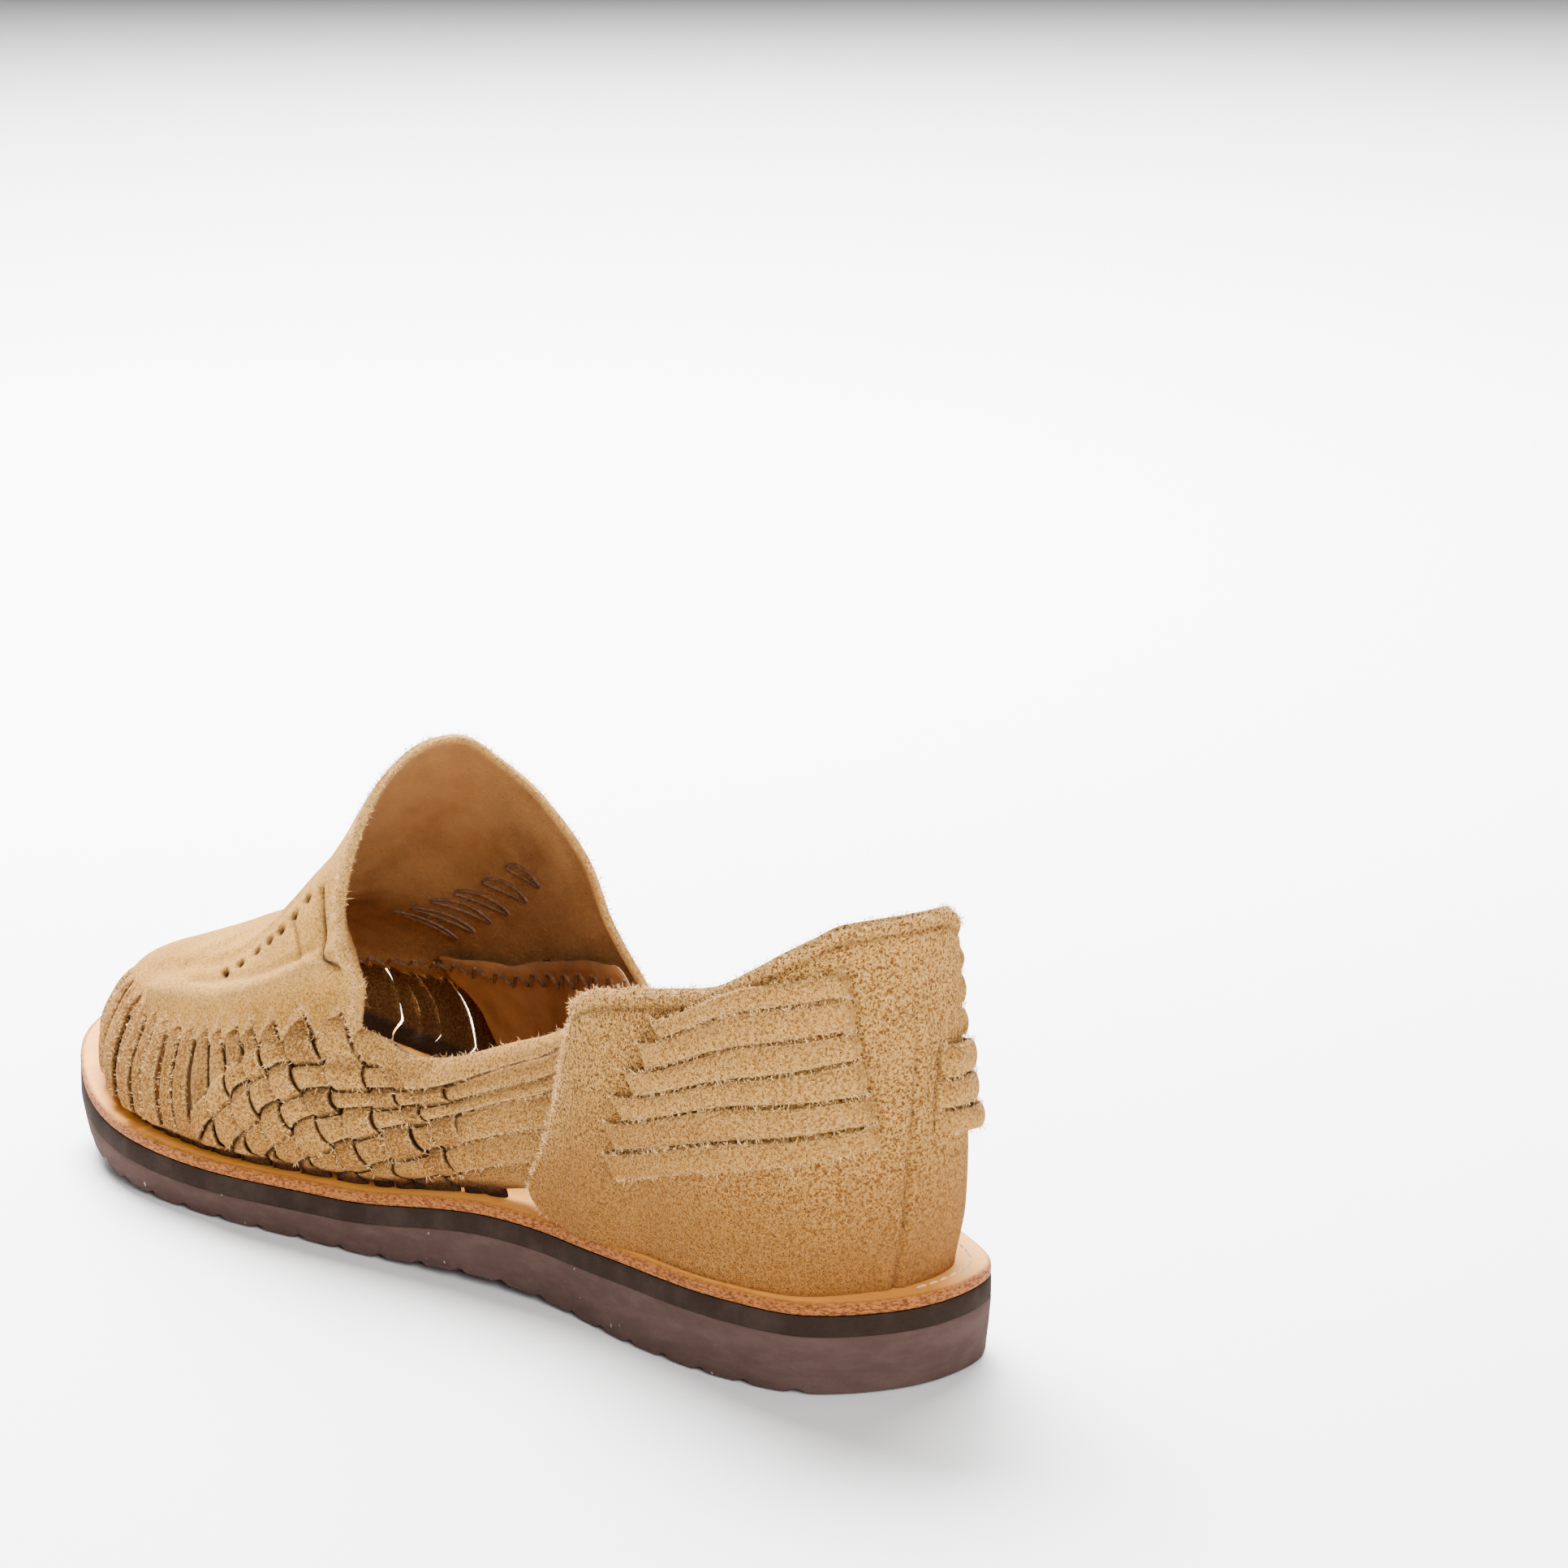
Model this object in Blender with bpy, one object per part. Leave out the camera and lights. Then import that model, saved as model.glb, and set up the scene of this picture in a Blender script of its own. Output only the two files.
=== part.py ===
"""Huarache sandal, the left shoe, built as a shoemaker's pieces.

A leather footbed on a dark midsole and a rubber outsole, a closed woven upper
with a standing tongue, and a suede heel counter that carries the side straps.

Units are metres and +Z is up. The toe points to -Y and the outer side is +X.
The origin is on the floor, under the middle of the sole. In the functions, u is
the distance from the back of the heel, and x the distance to the outer side.
"""

import math

import bpy
import numpy as np
from mathutils import Vector
from mathutils.geometry import delaunay_2d_cdt

# Sole
LENGTH = 0.290
BALL_WIDTH = 0.0965
FOOTBED_THICK = 0.0028
MIDSOLE_THICK = 0.0045
HEEL_STACK = 0.0172
TOE_SPRING = 0.0141
SOLE_TAPER = 0.0011
EDGE_ROUND = 0.0010
TREAD_PITCH = 0.0120
TREAD_GROOVE = 0.0036
TREAD_DEPTH = 0.0014

# Upper
LEATHER = 0.0018
STRIP_RISE = 0.0013
VAMP_RISE = 0.0005
STRAP_RISE = 0.0016
STRAP_GAP = 0.0007
LOOP_WIDTH = 0.0062
LOOP_GAP = 0.0016
VAMP_STEP = 0.0085
SHOULDER = 0.034
TONGUE_HEIGHT = 0.0895
TUCK = 0.0045
MARGIN = 0.0065

# Fit between pieces that touch
FIT = 0.0003

# The sole's outline: shares of the length, and of half the ball width each way
OUTLINE = (
    # along, outer, inner
    (0.030, 0.474, 0.505),
    (0.100, 0.640, 0.709),
    (0.200, 0.680, 0.800),
    (0.320, 0.635, 0.707),
    (0.440, 0.765, 0.650),
    (0.560, 0.915, 0.773),
    (0.680, 1.075, 0.880),
    (0.790, 1.110, 0.888),
    (0.890, 0.945, 0.785),
    (0.960, 0.650, 0.640),
)
HEEL_TIP_SHIFT = 0.008
TOE_TIP_SHIFT = -0.097

# Side profile: shares of the toe spring, and of the stack's height at the heel
PROFILE = (
    # along, lift, stack
    (0.00, 0.00, 1.000),
    (0.20, 0.00, 1.035),
    (0.27, 0.00, 0.980),
    (0.40, 0.14, 0.850),
    (0.54, 0.00, 0.690),
    (0.68, 0.00, 0.640),
    (0.80, 0.09, 0.660),
    (0.90, 0.38, 0.675),
    (1.00, 1.00, 0.690),
)

# The footbed's border outside the upper: shares of MARGIN
BORDER = (
    # along, outer, inner
    (0.00, 1.00, 1.00),
    (0.05, 0.55, 1.23),
    (0.15, 0.34, 1.00),
    (0.30, 0.62, 0.69),
    (0.45, 0.69, 0.46),
    (0.60, 0.46, 0.46),
    (0.75, 0.54, 0.54),
    (0.88, 1.00, 0.85),
    (0.94, 1.31, 1.23),
    (1.00, 1.46, 1.46),
)

# The last's shape: shares of TONGUE_HEIGHT, SHOULDER and TUCK, how far the wall
# leans in, how much of it is a straight heel, and the ridge's place across
BODY = (
    # along, crown, shoulder, lean, tuck, heel, ridge
    (0.00, 1.300, 3.200, 0.30, 0.55, 1.0, 0.000),
    (0.10, 1.300, 3.200, 0.25, 0.45, 1.0, 0.000),
    (0.24, 1.300, 3.050, 0.20, 0.40, 1.0, 0.000),
    (0.34, 1.280, 2.000, 0.45, 0.35, 0.7, 0.002),
    (0.46, 1.180, 1.150, 0.90, 0.31, 0.0, 0.005),
    (0.60, 1.020, 1.065, 1.00, 0.31, 0.0, 0.010),
    (0.675, 0.752, 1.033, 1.00, 0.31, 0.0, 0.000),
    (0.735, 0.560, 1.010, 1.00, 0.31, 0.0, -0.010),
    (0.80, 0.459, 0.979, 1.00, 0.31, 0.0, 0.010),
    (0.87, 0.332, 0.955, 1.00, 0.31, 0.0, 0.060),
    (0.91, 0.236, 0.720, 1.00, 0.31, 0.0, 0.073),
    (0.96, 0.156, 0.524, 1.00, 0.31, 0.0, 0.060),
)
RIDGE_START = 0.150
RIDGE_STOP = 0.915
RIDGE_SOFT = 0.0414
PEAK_ROUND = 0.236

# Strips that fall from the vamp to the footbed, from the toe back: shares of the length
FALLS = (
    # top, bottom
    (0.718, 0.690),
    (0.701, 0.655),
    (0.684, 0.621),
    (0.662, 0.594),
    (0.643, 0.560),
    (0.618, 0.522),
    (0.580, 0.500),
    (0.542, 0.478),
    (0.520, 0.430),
    (0.500, 0.408),
    (0.450, 0.385),
)
FALL_BEND = 0.8

# Edges of the strips that rise to the counter: the fall at whose foot each starts,
# the height that it reaches, and how soon
RISES = (
    # fall, height, reach
    (9, 0.050, 0.080),
    (6, 0.088, 0.100),
    (4, 0.132, 0.085),
    (3, 0.183, 0.060),
    (2, 0.208, 0.036),
    (1, 0.245, 0.036),
    (0, 0.300, 0.036),
)
RISE_BEND = 1.2

# The vamp's toothed lower edge: heights of its points and of the arches between them
EDGE_POINT = 0.350
EDGE_ARCH = 0.400
EDGE_STEP = 0.0007

# The collar's edge, and the tongue's from its corners up to the ridge
COLLAR = (
    # along, height
    (0.280, 0.270),
    (0.300, 0.275),
    (0.360, 0.285),
    (0.430, 0.300),
    (0.478, 0.310),
    (0.508, 0.345),
    (0.538, 0.372),
)
TONGUE_EDGE = (
    # height, outer side along, inner side along
    (0.372, 0.538, 0.479),
    (0.440, 0.544, 0.498),
    (0.520, 0.564, 0.517),
    (0.600, 0.588, 0.524),
    (0.750, 0.602, 0.560),
    (0.900, 0.609, 0.594),
    (1.000, 0.599, 0.599),
)

# Side straps run on inside the counter to here
STRAP_STATIONS = (0.362, 0.340, 0.318, 0.298, 0.278)

# The counter's front edge, its top edge, and the seven edges of its six straps
COUNTER_FRONT = (
    # height, along
    (0.000, 0.293),
    (0.010, 0.325),
    (0.035, 0.334),
    (0.060, 0.329),
    (0.110, 0.311),
    (0.165, 0.297),
    (0.230, 0.288),
    (0.292, 0.272),
)
COUNTER_TOP = (
    # along, height
    (0.023, 0.450),
    (0.031, 0.445),
    (0.040, 0.425),
    (0.060, 0.395),
    (0.082, 0.365),
    (0.112, 0.333),
    (0.144, 0.320),
    (0.180, 0.308),
    (0.225, 0.297),
    (0.272, 0.292),
)
COUNTER_STRAPS = (
    # height at the front edge, slot along, slot height, middle height, rear height
    (0.045, 0.238, 0.055, 0.115, 0.135),
    (0.085, 0.252, 0.085, 0.150, 0.165),
    (0.130, 0.238, 0.125, 0.188, 0.205),
    (0.175, 0.225, 0.160, 0.225, 0.250),
    (0.205, 0.207, 0.197, 0.265, 0.290),
    (0.240, 0.188, 0.238, 0.305, 0.335),
    (0.272, 0.175, 0.277, 0.342, 0.382),
)
STRAP_MIDDLE = 0.081
REAR_SLOT = 0.0115
COUNTER_CLEAR = 0.0004


def through(x, xs, ys):
    """A smooth curve through a table, level beyond its ends and with no overshoot."""
    xs = np.asarray(xs, float)
    ys = np.asarray(ys, float)
    x = np.clip(x, xs[0], xs[-1])
    step = np.diff(xs)
    rise = np.diff(ys) / step
    slope = np.zeros(len(xs))
    slope[0] = rise[0]
    slope[-1] = rise[-1]
    same = rise[:-1] * rise[1:] > 0
    a = 2 * step[1:] + step[:-1]
    b = step[1:] + 2 * step[:-1]
    lower = np.where(same, rise[:-1], 1)
    upper = np.where(same, rise[1:], 1)
    slope[1:-1] = np.where(same, (a + b) / (a / lower + b / upper), 0)
    i = np.clip(np.searchsorted(xs, x, side="right") - 1, 0, len(xs) - 2)
    h = step[i]
    t = (x - xs[i]) / h
    near = ys[i] * (1 + 2 * t) * (1 - t) ** 2 + slope[i] * h * t * (1 - t) ** 2
    far = ys[i + 1] * t * t * (3 - 2 * t) + slope[i + 1] * h * t * t * (t - 1)
    return near + far


def column(table, name):
    """One column of a table."""
    return [row[name] for row in table]


def evenly(loop, count):
    """The closed loop as count points at equal distances."""
    closed = np.vstack([loop, loop[:1]])
    along = np.r_[0, np.cumsum(np.linalg.norm(np.diff(closed, axis=0), axis=1))]
    s = np.linspace(0, along[-1], count, endpoint=False)
    return np.column_stack([np.interp(s, along, closed[:, k]) for k in (0, 1)])


def ring(points, count):
    """A closed smooth curve through the points."""
    p = np.asarray(points, float)
    gap = np.sqrt(np.linalg.norm(np.roll(p, -1, 0) - p, axis=1))
    before = np.roll(gap, 1)[:, None]
    after = gap[:, None]
    back = p - np.roll(p, 1, 0)
    ahead = np.roll(p, -1, 0) - p
    slope = (back / before * after + ahead / after * before) / (before + after)
    t = np.linspace(0, 1, 40, endpoint=False)[:, None]
    dense = []
    for i in range(len(p)):
        j = (i + 1) % len(p)
        h = gap[i]
        near = p[i] * (1 + 2 * t) * (1 - t) ** 2 + slope[i] * h * t * (1 - t) ** 2
        far = p[j] * t * t * (3 - 2 * t) + slope[j] * h * t * t * (t - 1)
        dense.append(near + far)
    return evenly(np.concatenate(dense), count)


def sole_outline(count=720):
    """The footbed's edge as (x, u), from the heel round by the outer side."""
    half = BALL_WIDTH / 2
    outer = [(o * half, a * LENGTH) for a, o, _ in OUTLINE]
    inner = [(-i * half, a * LENGTH) for a, _, i in reversed(OUTLINE)]
    heel = (HEEL_TIP_SHIFT * half, 0.0)
    toe = (TOE_TIP_SHIFT * half, LENGTH)
    return ring([heel, *outer, toe, *inner], count)


def inward(loop):
    """Unit directions to the inside of a loop."""
    along = np.roll(loop, -1, 0) - np.roll(loop, 1, 0)
    along /= np.linalg.norm(along, axis=1)[:, None]
    return np.column_stack([-along[:, 1], along[:, 0]])


def sole_bottom(u):
    """Height of the outsole's underside."""
    return TOE_SPRING * through(u / LENGTH, column(PROFILE, 0), column(PROFILE, 1))


def stack(u):
    """Thickness of the outsole and midsole together."""
    return HEEL_STACK * through(u / LENGTH, column(PROFILE, 0), column(PROFILE, 2))


def footbed_top(u):
    """Height of the surface that the foot stands on."""
    return sole_bottom(u) + stack(u) + FOOTBED_THICK


def ridge(u):
    """How far across the top of the foot the last's ridge lies."""
    return BALL_WIDTH * through(u / LENGTH, column(BODY, 0), column(BODY, 6))


def feather_line(count=960):
    """Where the upper meets the footbed, as (x, u) in the outline's order."""
    loop = sole_outline()
    share = loop[:, 1] / LENGTH
    outer = MARGIN * through(share, column(BORDER, 0), column(BORDER, 1))
    inner = MARGIN * through(share, column(BORDER, 0), column(BORDER, 2))
    side = 1 / (1 + np.exp(-(loop[:, 0] - ridge(loop[:, 1])) / 0.004))
    return evenly(loop + inward(loop) * (outer * side + inner * (1 - side))[:, None], count)


FEATHER = feather_line()
FEATHER_LENGTH = np.linalg.norm(np.roll(FEATHER, -1, 0) - FEATHER, axis=1).sum()
TOE_INDEX = int(FEATHER[:, 1].argmax())


def foot(t):
    """The feather line at a share t of its way round."""
    grid = np.arange(len(FEATHER) + 1) / len(FEATHER)
    closed = np.vstack([FEATHER, FEATHER[:1]])
    return np.column_stack([np.interp(np.mod(t, 1), grid, closed[:, k]) for k in (0, 1)])


def way_round(side, along):
    """The share of the feather line's way round, for a share of the length on one side."""
    if side > 0:
        half = np.arange(TOE_INDEX + 1)
        return np.interp(along, FEATHER[half, 1] / LENGTH, half / len(FEATHER))
    half = np.arange(len(FEATHER), TOE_INDEX - 1, -1)
    return np.interp(along, FEATHER[half % len(FEATHER), 1] / LENGTH, half / len(FEATHER))


def ridge_point(u):
    """The point of the ridge above u, which stops short of the toe and of the heel."""
    soft = RIDGE_SOFT * LENGTH
    stop = RIDGE_STOP * LENGTH
    start = RIDGE_START * LENGTH
    along = stop - soft * np.log1p(np.exp((stop - u) / soft))
    along = start + soft * np.log1p(np.exp((along - start) / soft))
    return np.column_stack([ridge(along), along])


def last(t, height):
    """The upper's outside: height 0 is the feather line and 1 the ridge of the foot."""
    start = foot(t)
    u = start[:, 1]
    top = ridge_point(u)
    top_u = top[:, 1]
    rows = column(BODY, 0)
    crown = TONGUE_HEIGHT * through(top_u / LENGTH, rows, column(BODY, 1))
    shoulder = SHOULDER * through(top_u / LENGTH, rows, column(BODY, 2))
    lean = through(u / LENGTH, rows, column(BODY, 3))
    tuck = TUCK * through(u / LENGTH, rows, column(BODY, 4))
    heel = through(u / LENGTH, rows, column(BODY, 5))
    angle = height * np.pi / 2
    across = 1 - np.maximum(np.cos(angle), 0) ** 0.708
    rise = np.sin(angle) ** 0.829
    low = np.sqrt((1 - across) ** 2 + PEAK_ROUND**2) - PEAK_ROUND
    peak = 1 - (low / (np.sqrt(1 + PEAK_ROUND**2) - PEAK_ROUND)) ** 1.368
    swell = np.sin(np.pi * np.clip(height / 0.45, 0, 1)) * (1 - heel)
    swell = swell + (1 - np.exp(-height / 0.05)) * heel
    way = top - start
    size = np.maximum(np.linalg.norm(way, axis=1), 1e-6)
    lean = lean + (1 - lean) * np.clip((height - 0.5) / 0.5, 0, 1)
    flat = start + way * (across * lean - tuck * swell / size)[:, None]
    z = footbed_top(u) + (footbed_top(top_u) - footbed_top(u)) * rise
    z = z + shoulder * rise + (crown - shoulder) * peak
    return np.column_stack([flat, z])


def plan(t, height):
    """The same point laid flat, to join up the vamp's points."""
    start = foot(t)
    return start + (ridge_point(start[:, 1]) - start) * height[:, None]


# Solids from rings and from sheets


def to_part(points):
    """Points (x, u, z) in the part's own frame."""
    across = sole_outline()[:, 0]
    middle = (across.min() + across.max()) / 2
    return np.column_stack([points[:, 0] - middle, LENGTH / 2 - points[:, 1], points[:, 2]])


def material(name, colour, roughness):
    """A plain material."""
    made = bpy.data.materials.new(name)
    made.use_nodes = True
    shader = made.node_tree.nodes["Principled BSDF"]
    shader.inputs["Base Color"].default_value = (*colour, 1)
    shader.inputs["Roughness"].default_value = roughness
    made.diffuse_color = (*colour, 1)
    return made


def piece(name, points, faces, surface, smooth):
    """One named object from points and faces."""
    mesh = bpy.data.meshes.new(name)
    mesh.from_pydata(to_part(np.asarray(points)).tolist(), [], faces)
    mesh.materials.append(surface)
    mesh.validate()
    made = bpy.data.objects.new(name, mesh)
    bpy.context.scene.collection.objects.link(made)
    bpy.context.view_layer.objects.active = made
    made.select_set(True)
    bpy.ops.object.mode_set(mode="EDIT")
    bpy.ops.mesh.select_all(action="SELECT")
    bpy.ops.mesh.quads_convert_to_tris(quad_method="BEAUTY", ngon_method="BEAUTY")
    bpy.ops.mesh.normals_make_consistent(inside=False)
    bpy.ops.object.mode_set(mode="OBJECT")
    mesh.polygons.foreach_set("use_smooth", [True] * len(mesh.polygons))
    mesh.set_sharp_from_angle(angle=math.radians(smooth))
    made.select_set(False)
    return made


def sides_at(inset, shares):
    """(outer x, inner x, u) of the outline drawn in by an inset, at shares of its length."""
    base = sole_outline()
    loop = base + inward(base) * inset
    toe = int(loop[:, 1].argmax())
    heel = int(loop[:, 1].argmin())
    loop = np.roll(loop, -heel, 0)
    toe = (toe - heel) % len(loop)
    low = loop[0, 1]
    high = loop[toe, 1]
    u = low + (high - low) * shares
    outer = np.interp(u, loop[: toe + 1, 1], loop[: toe + 1, 0])
    inner_loop = np.vstack([loop[toe:], loop[:1]])[::-1]
    inner = np.interp(u, inner_loop[:, 1], inner_loop[:, 0])
    return outer, inner, u


def layer(name, rings, shares, surface, smooth):
    """A sole layer from rings of (inset, height function), the lowest first."""
    points = []
    count = len(shares)
    around = 2 * count - 2
    for inset, height in rings:
        outer, inner, u = sides_at(inset, shares)
        x = np.r_[outer, inner[-2:0:-1]]
        along = np.r_[u, u[-2:0:-1]]
        z = height(shares, u)
        points.append(np.column_stack([x, along, np.r_[z, z[-2:0:-1]]]))
    faces = []
    for k in range(len(rings) - 1):
        for i in range(around):
            j = (i + 1) % around
            a = k * around
            faces.append((a + i, a + j, a + around + j, a + around + i))
    for base in (0, (len(rings) - 1) * around):
        for i in range(count - 1):
            corners = [i, i + 1, (around - i - 1) % around, (around - i) % around]
            corners = [base + c for c in dict.fromkeys(corners)]
            faces.append(tuple(corners))
    return piece(name, np.concatenate(points), faces, surface, smooth)


def spaced(step):
    """Shares of the length, closer together at the two ends."""
    ends = (1 - np.cos(np.linspace(0, math.pi / 2, 8))) * 0.055
    middle = np.linspace(0.055, 0.945, max(2, round(0.89 * LENGTH / step)) + 1)
    return np.r_[ends[:-1], middle, (1 - ends[:-1])[::-1]]


def tread_shares():
    """Shares that give each tread groove two edges and two floor lines."""
    count = round((LENGTH - 2 * TREAD_PITCH) / TREAD_PITCH)
    centres = np.linspace(TREAD_PITCH, LENGTH - TREAD_PITCH, count + 1) / LENGTH
    half = TREAD_GROOVE / 2 / LENGTH
    lines = [centres - half, centres - half * 0.45, centres + half * 0.45, centres + half]
    lines.append((centres[:-1] + centres[1:]) / 2)
    ends = (1 - np.cos(np.linspace(0, math.pi / 2, 6))) * (centres[0] - half * 1.6)
    return np.sort(np.concatenate([ends, 1 - ends, *lines])), centres, half


def build_sole():
    """Outsole, midsole and footbed."""
    shares, centres, half = tread_shares()
    nearest = np.abs(shares[:, None] - centres[None]).min(axis=1)
    groove = TREAD_DEPTH * np.clip((half * 1.01 - nearest) / (half * 0.5), 0, 1)
    rubber = material("sole_rubber", (0.115, 0.078, 0.072), 0.7)
    dark = material("midsole_rubber", (0.035, 0.027, 0.026), 0.65)
    leather = material("footbed_leather", (0.72, 0.42, 0.24), 0.6)

    def outsole_top(_, u):
        return sole_bottom(u) + stack(u) - MIDSOLE_THICK - FIT

    layer(
        "outsole",
        (
            (SOLE_TAPER + EDGE_ROUND, lambda s, u: sole_bottom(u) + groove),
            (SOLE_TAPER, lambda s, u: sole_bottom(u) + EDGE_ROUND + groove * 0.8),
            (0.0, outsole_top),
        ),
        shares,
        rubber,
        40,
    )
    coarse = spaced(0.0085)
    layer(
        "midsole",
        (
            (0.0002, lambda s, u: sole_bottom(u) + stack(u) - MIDSOLE_THICK),
            (0.0002, lambda s, u: sole_bottom(u) + stack(u) - FIT),
        ),
        coarse,
        dark,
        40,
    )
    layer(
        "footbed",
        (
            (0.0, lambda s, u: sole_bottom(u) + stack(u)),
            (0.0, lambda s, u: footbed_top(u) - 0.0010),
            (0.0003, lambda s, u: footbed_top(u) - 0.0004),
            (0.0010, lambda s, u: footbed_top(u)),
        ),
        coarse,
        leather,
        40,
    )


class Sheet:
    """A sheet of leather on the last: points by place and height, and faces over them."""

    def __init__(self):
        self.place = []
        self.faces = []

    def point(self, t, height, lift=0.0):
        """Adds a point and returns its number."""
        self.place.append((t, height, lift))
        return len(self.place) - 1

    def fan(self, corners, middle):
        """Triangles from a middle point to each side of a patch."""
        for a, b in zip(corners, corners[1:] + corners[:1]):
            self.faces.append((a, b, middle))

    def strip(self, first, second):
        """Quads between two rows of points."""
        for i in range(len(first) - 1):
            self.faces.append((first[i], first[i + 1], second[i + 1], second[i]))

    def tie(self, a, b, between):
        """Puts the points between a and b on the side of the face that has both."""
        faces = []
        for face in self.faces:
            i = face.index(a) if a in face else -1
            if i < 0 or b not in (face[i - 1], face[(i + 1) % len(face)]):
                faces.append(face)
                continue
            run = [a, *between, b]
            other = [v for v in face[i:] + face[:i] if v not in (a, b)]
            if face[i - 1] == b:
                other = other[::-1]
            faces += [(p, q, other[0]) for p, q in zip(run, run[1:])]
            if len(other) > 1:
                faces.append((b, *other[::-1]))
        self.faces = faces

    def solid(self, name, surface, standoff, smooth):
        """Gives the sheet its thickness and closes it along every free edge."""
        t, height, lift = (np.array(v, float) for v in zip(*self.place))
        base = last(t, height)
        mesh_faces = []
        for face in self.faces:
            for k in range(1, len(face) - 1):
                mesh_faces.append((face[0], face[k], face[k + 1]))
        tri = np.array(mesh_faces)
        flat = plan(t, height)
        first = flat[tri[:, 1]] - flat[tri[:, 0]]
        second = flat[tri[:, 2]] - flat[tri[:, 0]]
        flip = first[:, 0] * second[:, 1] < first[:, 1] * second[:, 0]
        tri[flip] = tri[flip][:, ::-1]
        turned = np.cross(base[tri[:, 1]] - base[tri[:, 0]], base[tri[:, 2]] - base[tri[:, 0]])
        normal = np.zeros_like(base)
        for k in range(3):
            np.add.at(normal, tri[:, k], turned)
        normal /= np.maximum(np.linalg.norm(normal, axis=1)[:, None], 1e-12)
        away = standoff(t, height) if standoff else np.zeros(len(t))
        outer = base + normal * (away + lift)[:, None]
        inner = base + normal * (away - LEATHER)[:, None]
        floor = footbed_top(base[:, 1]) + FIT
        low = height < 0.004
        for shell in (outer, inner):
            shell[low, 2] = floor[low]
            shell[:, 2] = np.maximum(shell[:, 2], footbed_top(shell[:, 1]) + FIT)
        count = len(base)
        edges = {}
        for a, b, c in tri.tolist():
            for edge in ((a, b), (b, c), (c, a)):
                edges[edge] = True
        faces = [tuple(f) for f in tri.tolist()]
        faces += [(c + count, b + count, a + count) for a, b, c in tri.tolist()]
        for a, b in edges:
            if (b, a) not in edges:
                faces.append((b, a, a + count, b + count))
        return piece(name, np.vstack([outer, inner]), faces, surface, smooth)


def collar_height(side, along):
    """Height of the collar's edge beside the foot."""
    corner = TONGUE_EDGE[0][1 if side > 0 else 2]
    outer_corner = TONGUE_EDGE[0][1]
    start = 0.36
    stretched = start + (along - start) * (outer_corner - start) / (corner - start)
    along = stretched if along > start else along
    return float(through(along, column(COLLAR, 0), column(COLLAR, 1)))


def rise_height(index, along):
    """Height of a rising strip's edge."""
    fall, height, reach = RISES[index]
    done = max(FALLS[fall][1] - along, 0)
    return height * (1 - math.exp(-((done / reach) ** RISE_BEND)))


class Fall:
    """One edge line of the falling strips, with its points on a sheet."""

    def __init__(self, sheet, side, index):
        top, self.bottom = FALLS[index]
        corner = TONGUE_EDGE[0][1 if side > 0 else 2]
        next_top = FALLS[index + 1][0] if index + 1 < len(FALLS) else 0
        self.is_corner = top >= corner > next_top
        self.on_collar = top < corner
        if self.is_corner:
            top = corner
            self.high = TONGUE_EDGE[0][0]
        elif self.on_collar:
            self.high = collar_height(side, top)
        else:
            self.high = EDGE_POINT
        self.top = top
        self.side = side
        self.sheet = sheet
        self.marks = {}
        last_rise = len(RISES) - 1
        for m, (fall, _, _) in enumerate(RISES):
            if fall == index:
                self.marks[m] = self.add(0.0, 0.0)
            elif fall < index and not (m == last_rise and (self.is_corner or self.on_collar)):
                self.marks[m] = self.add(self.crossing(m), 0.0)
        if not any(self.bottom == FALLS[fall][1] for fall, _, _ in RISES):
            self.foot = None if index == len(FALLS) - 1 else self.add(0.0, 0.0)
        else:
            self.foot = self.marks[[m for m, r in enumerate(RISES) if r[0] == index][0]]
        self.tip = self.add(self.high, EDGE_STEP)
        if self.is_corner:
            self.marks[last_rise] = self.tip

    def along(self, height):
        """Where the line is at a height, as a share of the length."""
        return self.bottom + (self.top - self.bottom) * (height / self.high) ** FALL_BEND

    def add(self, height, lift):
        """A point of the line."""
        return self.sheet.point(way_round(self.side, self.along(height)), height, lift)

    def crossing(self, rise):
        """The height where a rising edge crosses this line."""
        low, high = 0.0, self.high
        for _ in range(40):
            middle = (low + high) / 2
            if rise_height(rise, self.along(middle)) > middle:
                low = middle
            else:
                high = middle
        return low


def centre(sheet, corners, lift):
    """A raised point in the middle of a patch."""
    t = sum(sheet.place[c][0] for c in corners) / len(corners)
    height = sum(sheet.place[c][1] for c in corners) / len(corners)
    return sheet.point(t, height, lift)


def cell(sheet, corners, along):
    """A strip's visible square, raised along its run; corners go front, back, back, front."""
    if len(corners) != 4:
        sheet.fan(corners, centre(sheet, corners, STRIP_RISE))
        return
    a, b, c, d = corners
    if not along:
        a, b, c, d = b, c, d, a
    places = [np.array(sheet.place[k][:2]) for k in (a, b, c, d)]
    start = (places[0] + places[3]) / 2
    end = (places[1] + places[2]) / 2
    first = sheet.point(*(start * 0.72 + end * 0.28), STRIP_RISE)
    second = sheet.point(*(start * 0.28 + end * 0.72), STRIP_RISE)
    sheet.faces += [(a, b, second), (a, second, first), (b, c, second)]
    sheet.faces += [(c, d, first), (c, first, second), (d, a, first)]


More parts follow.
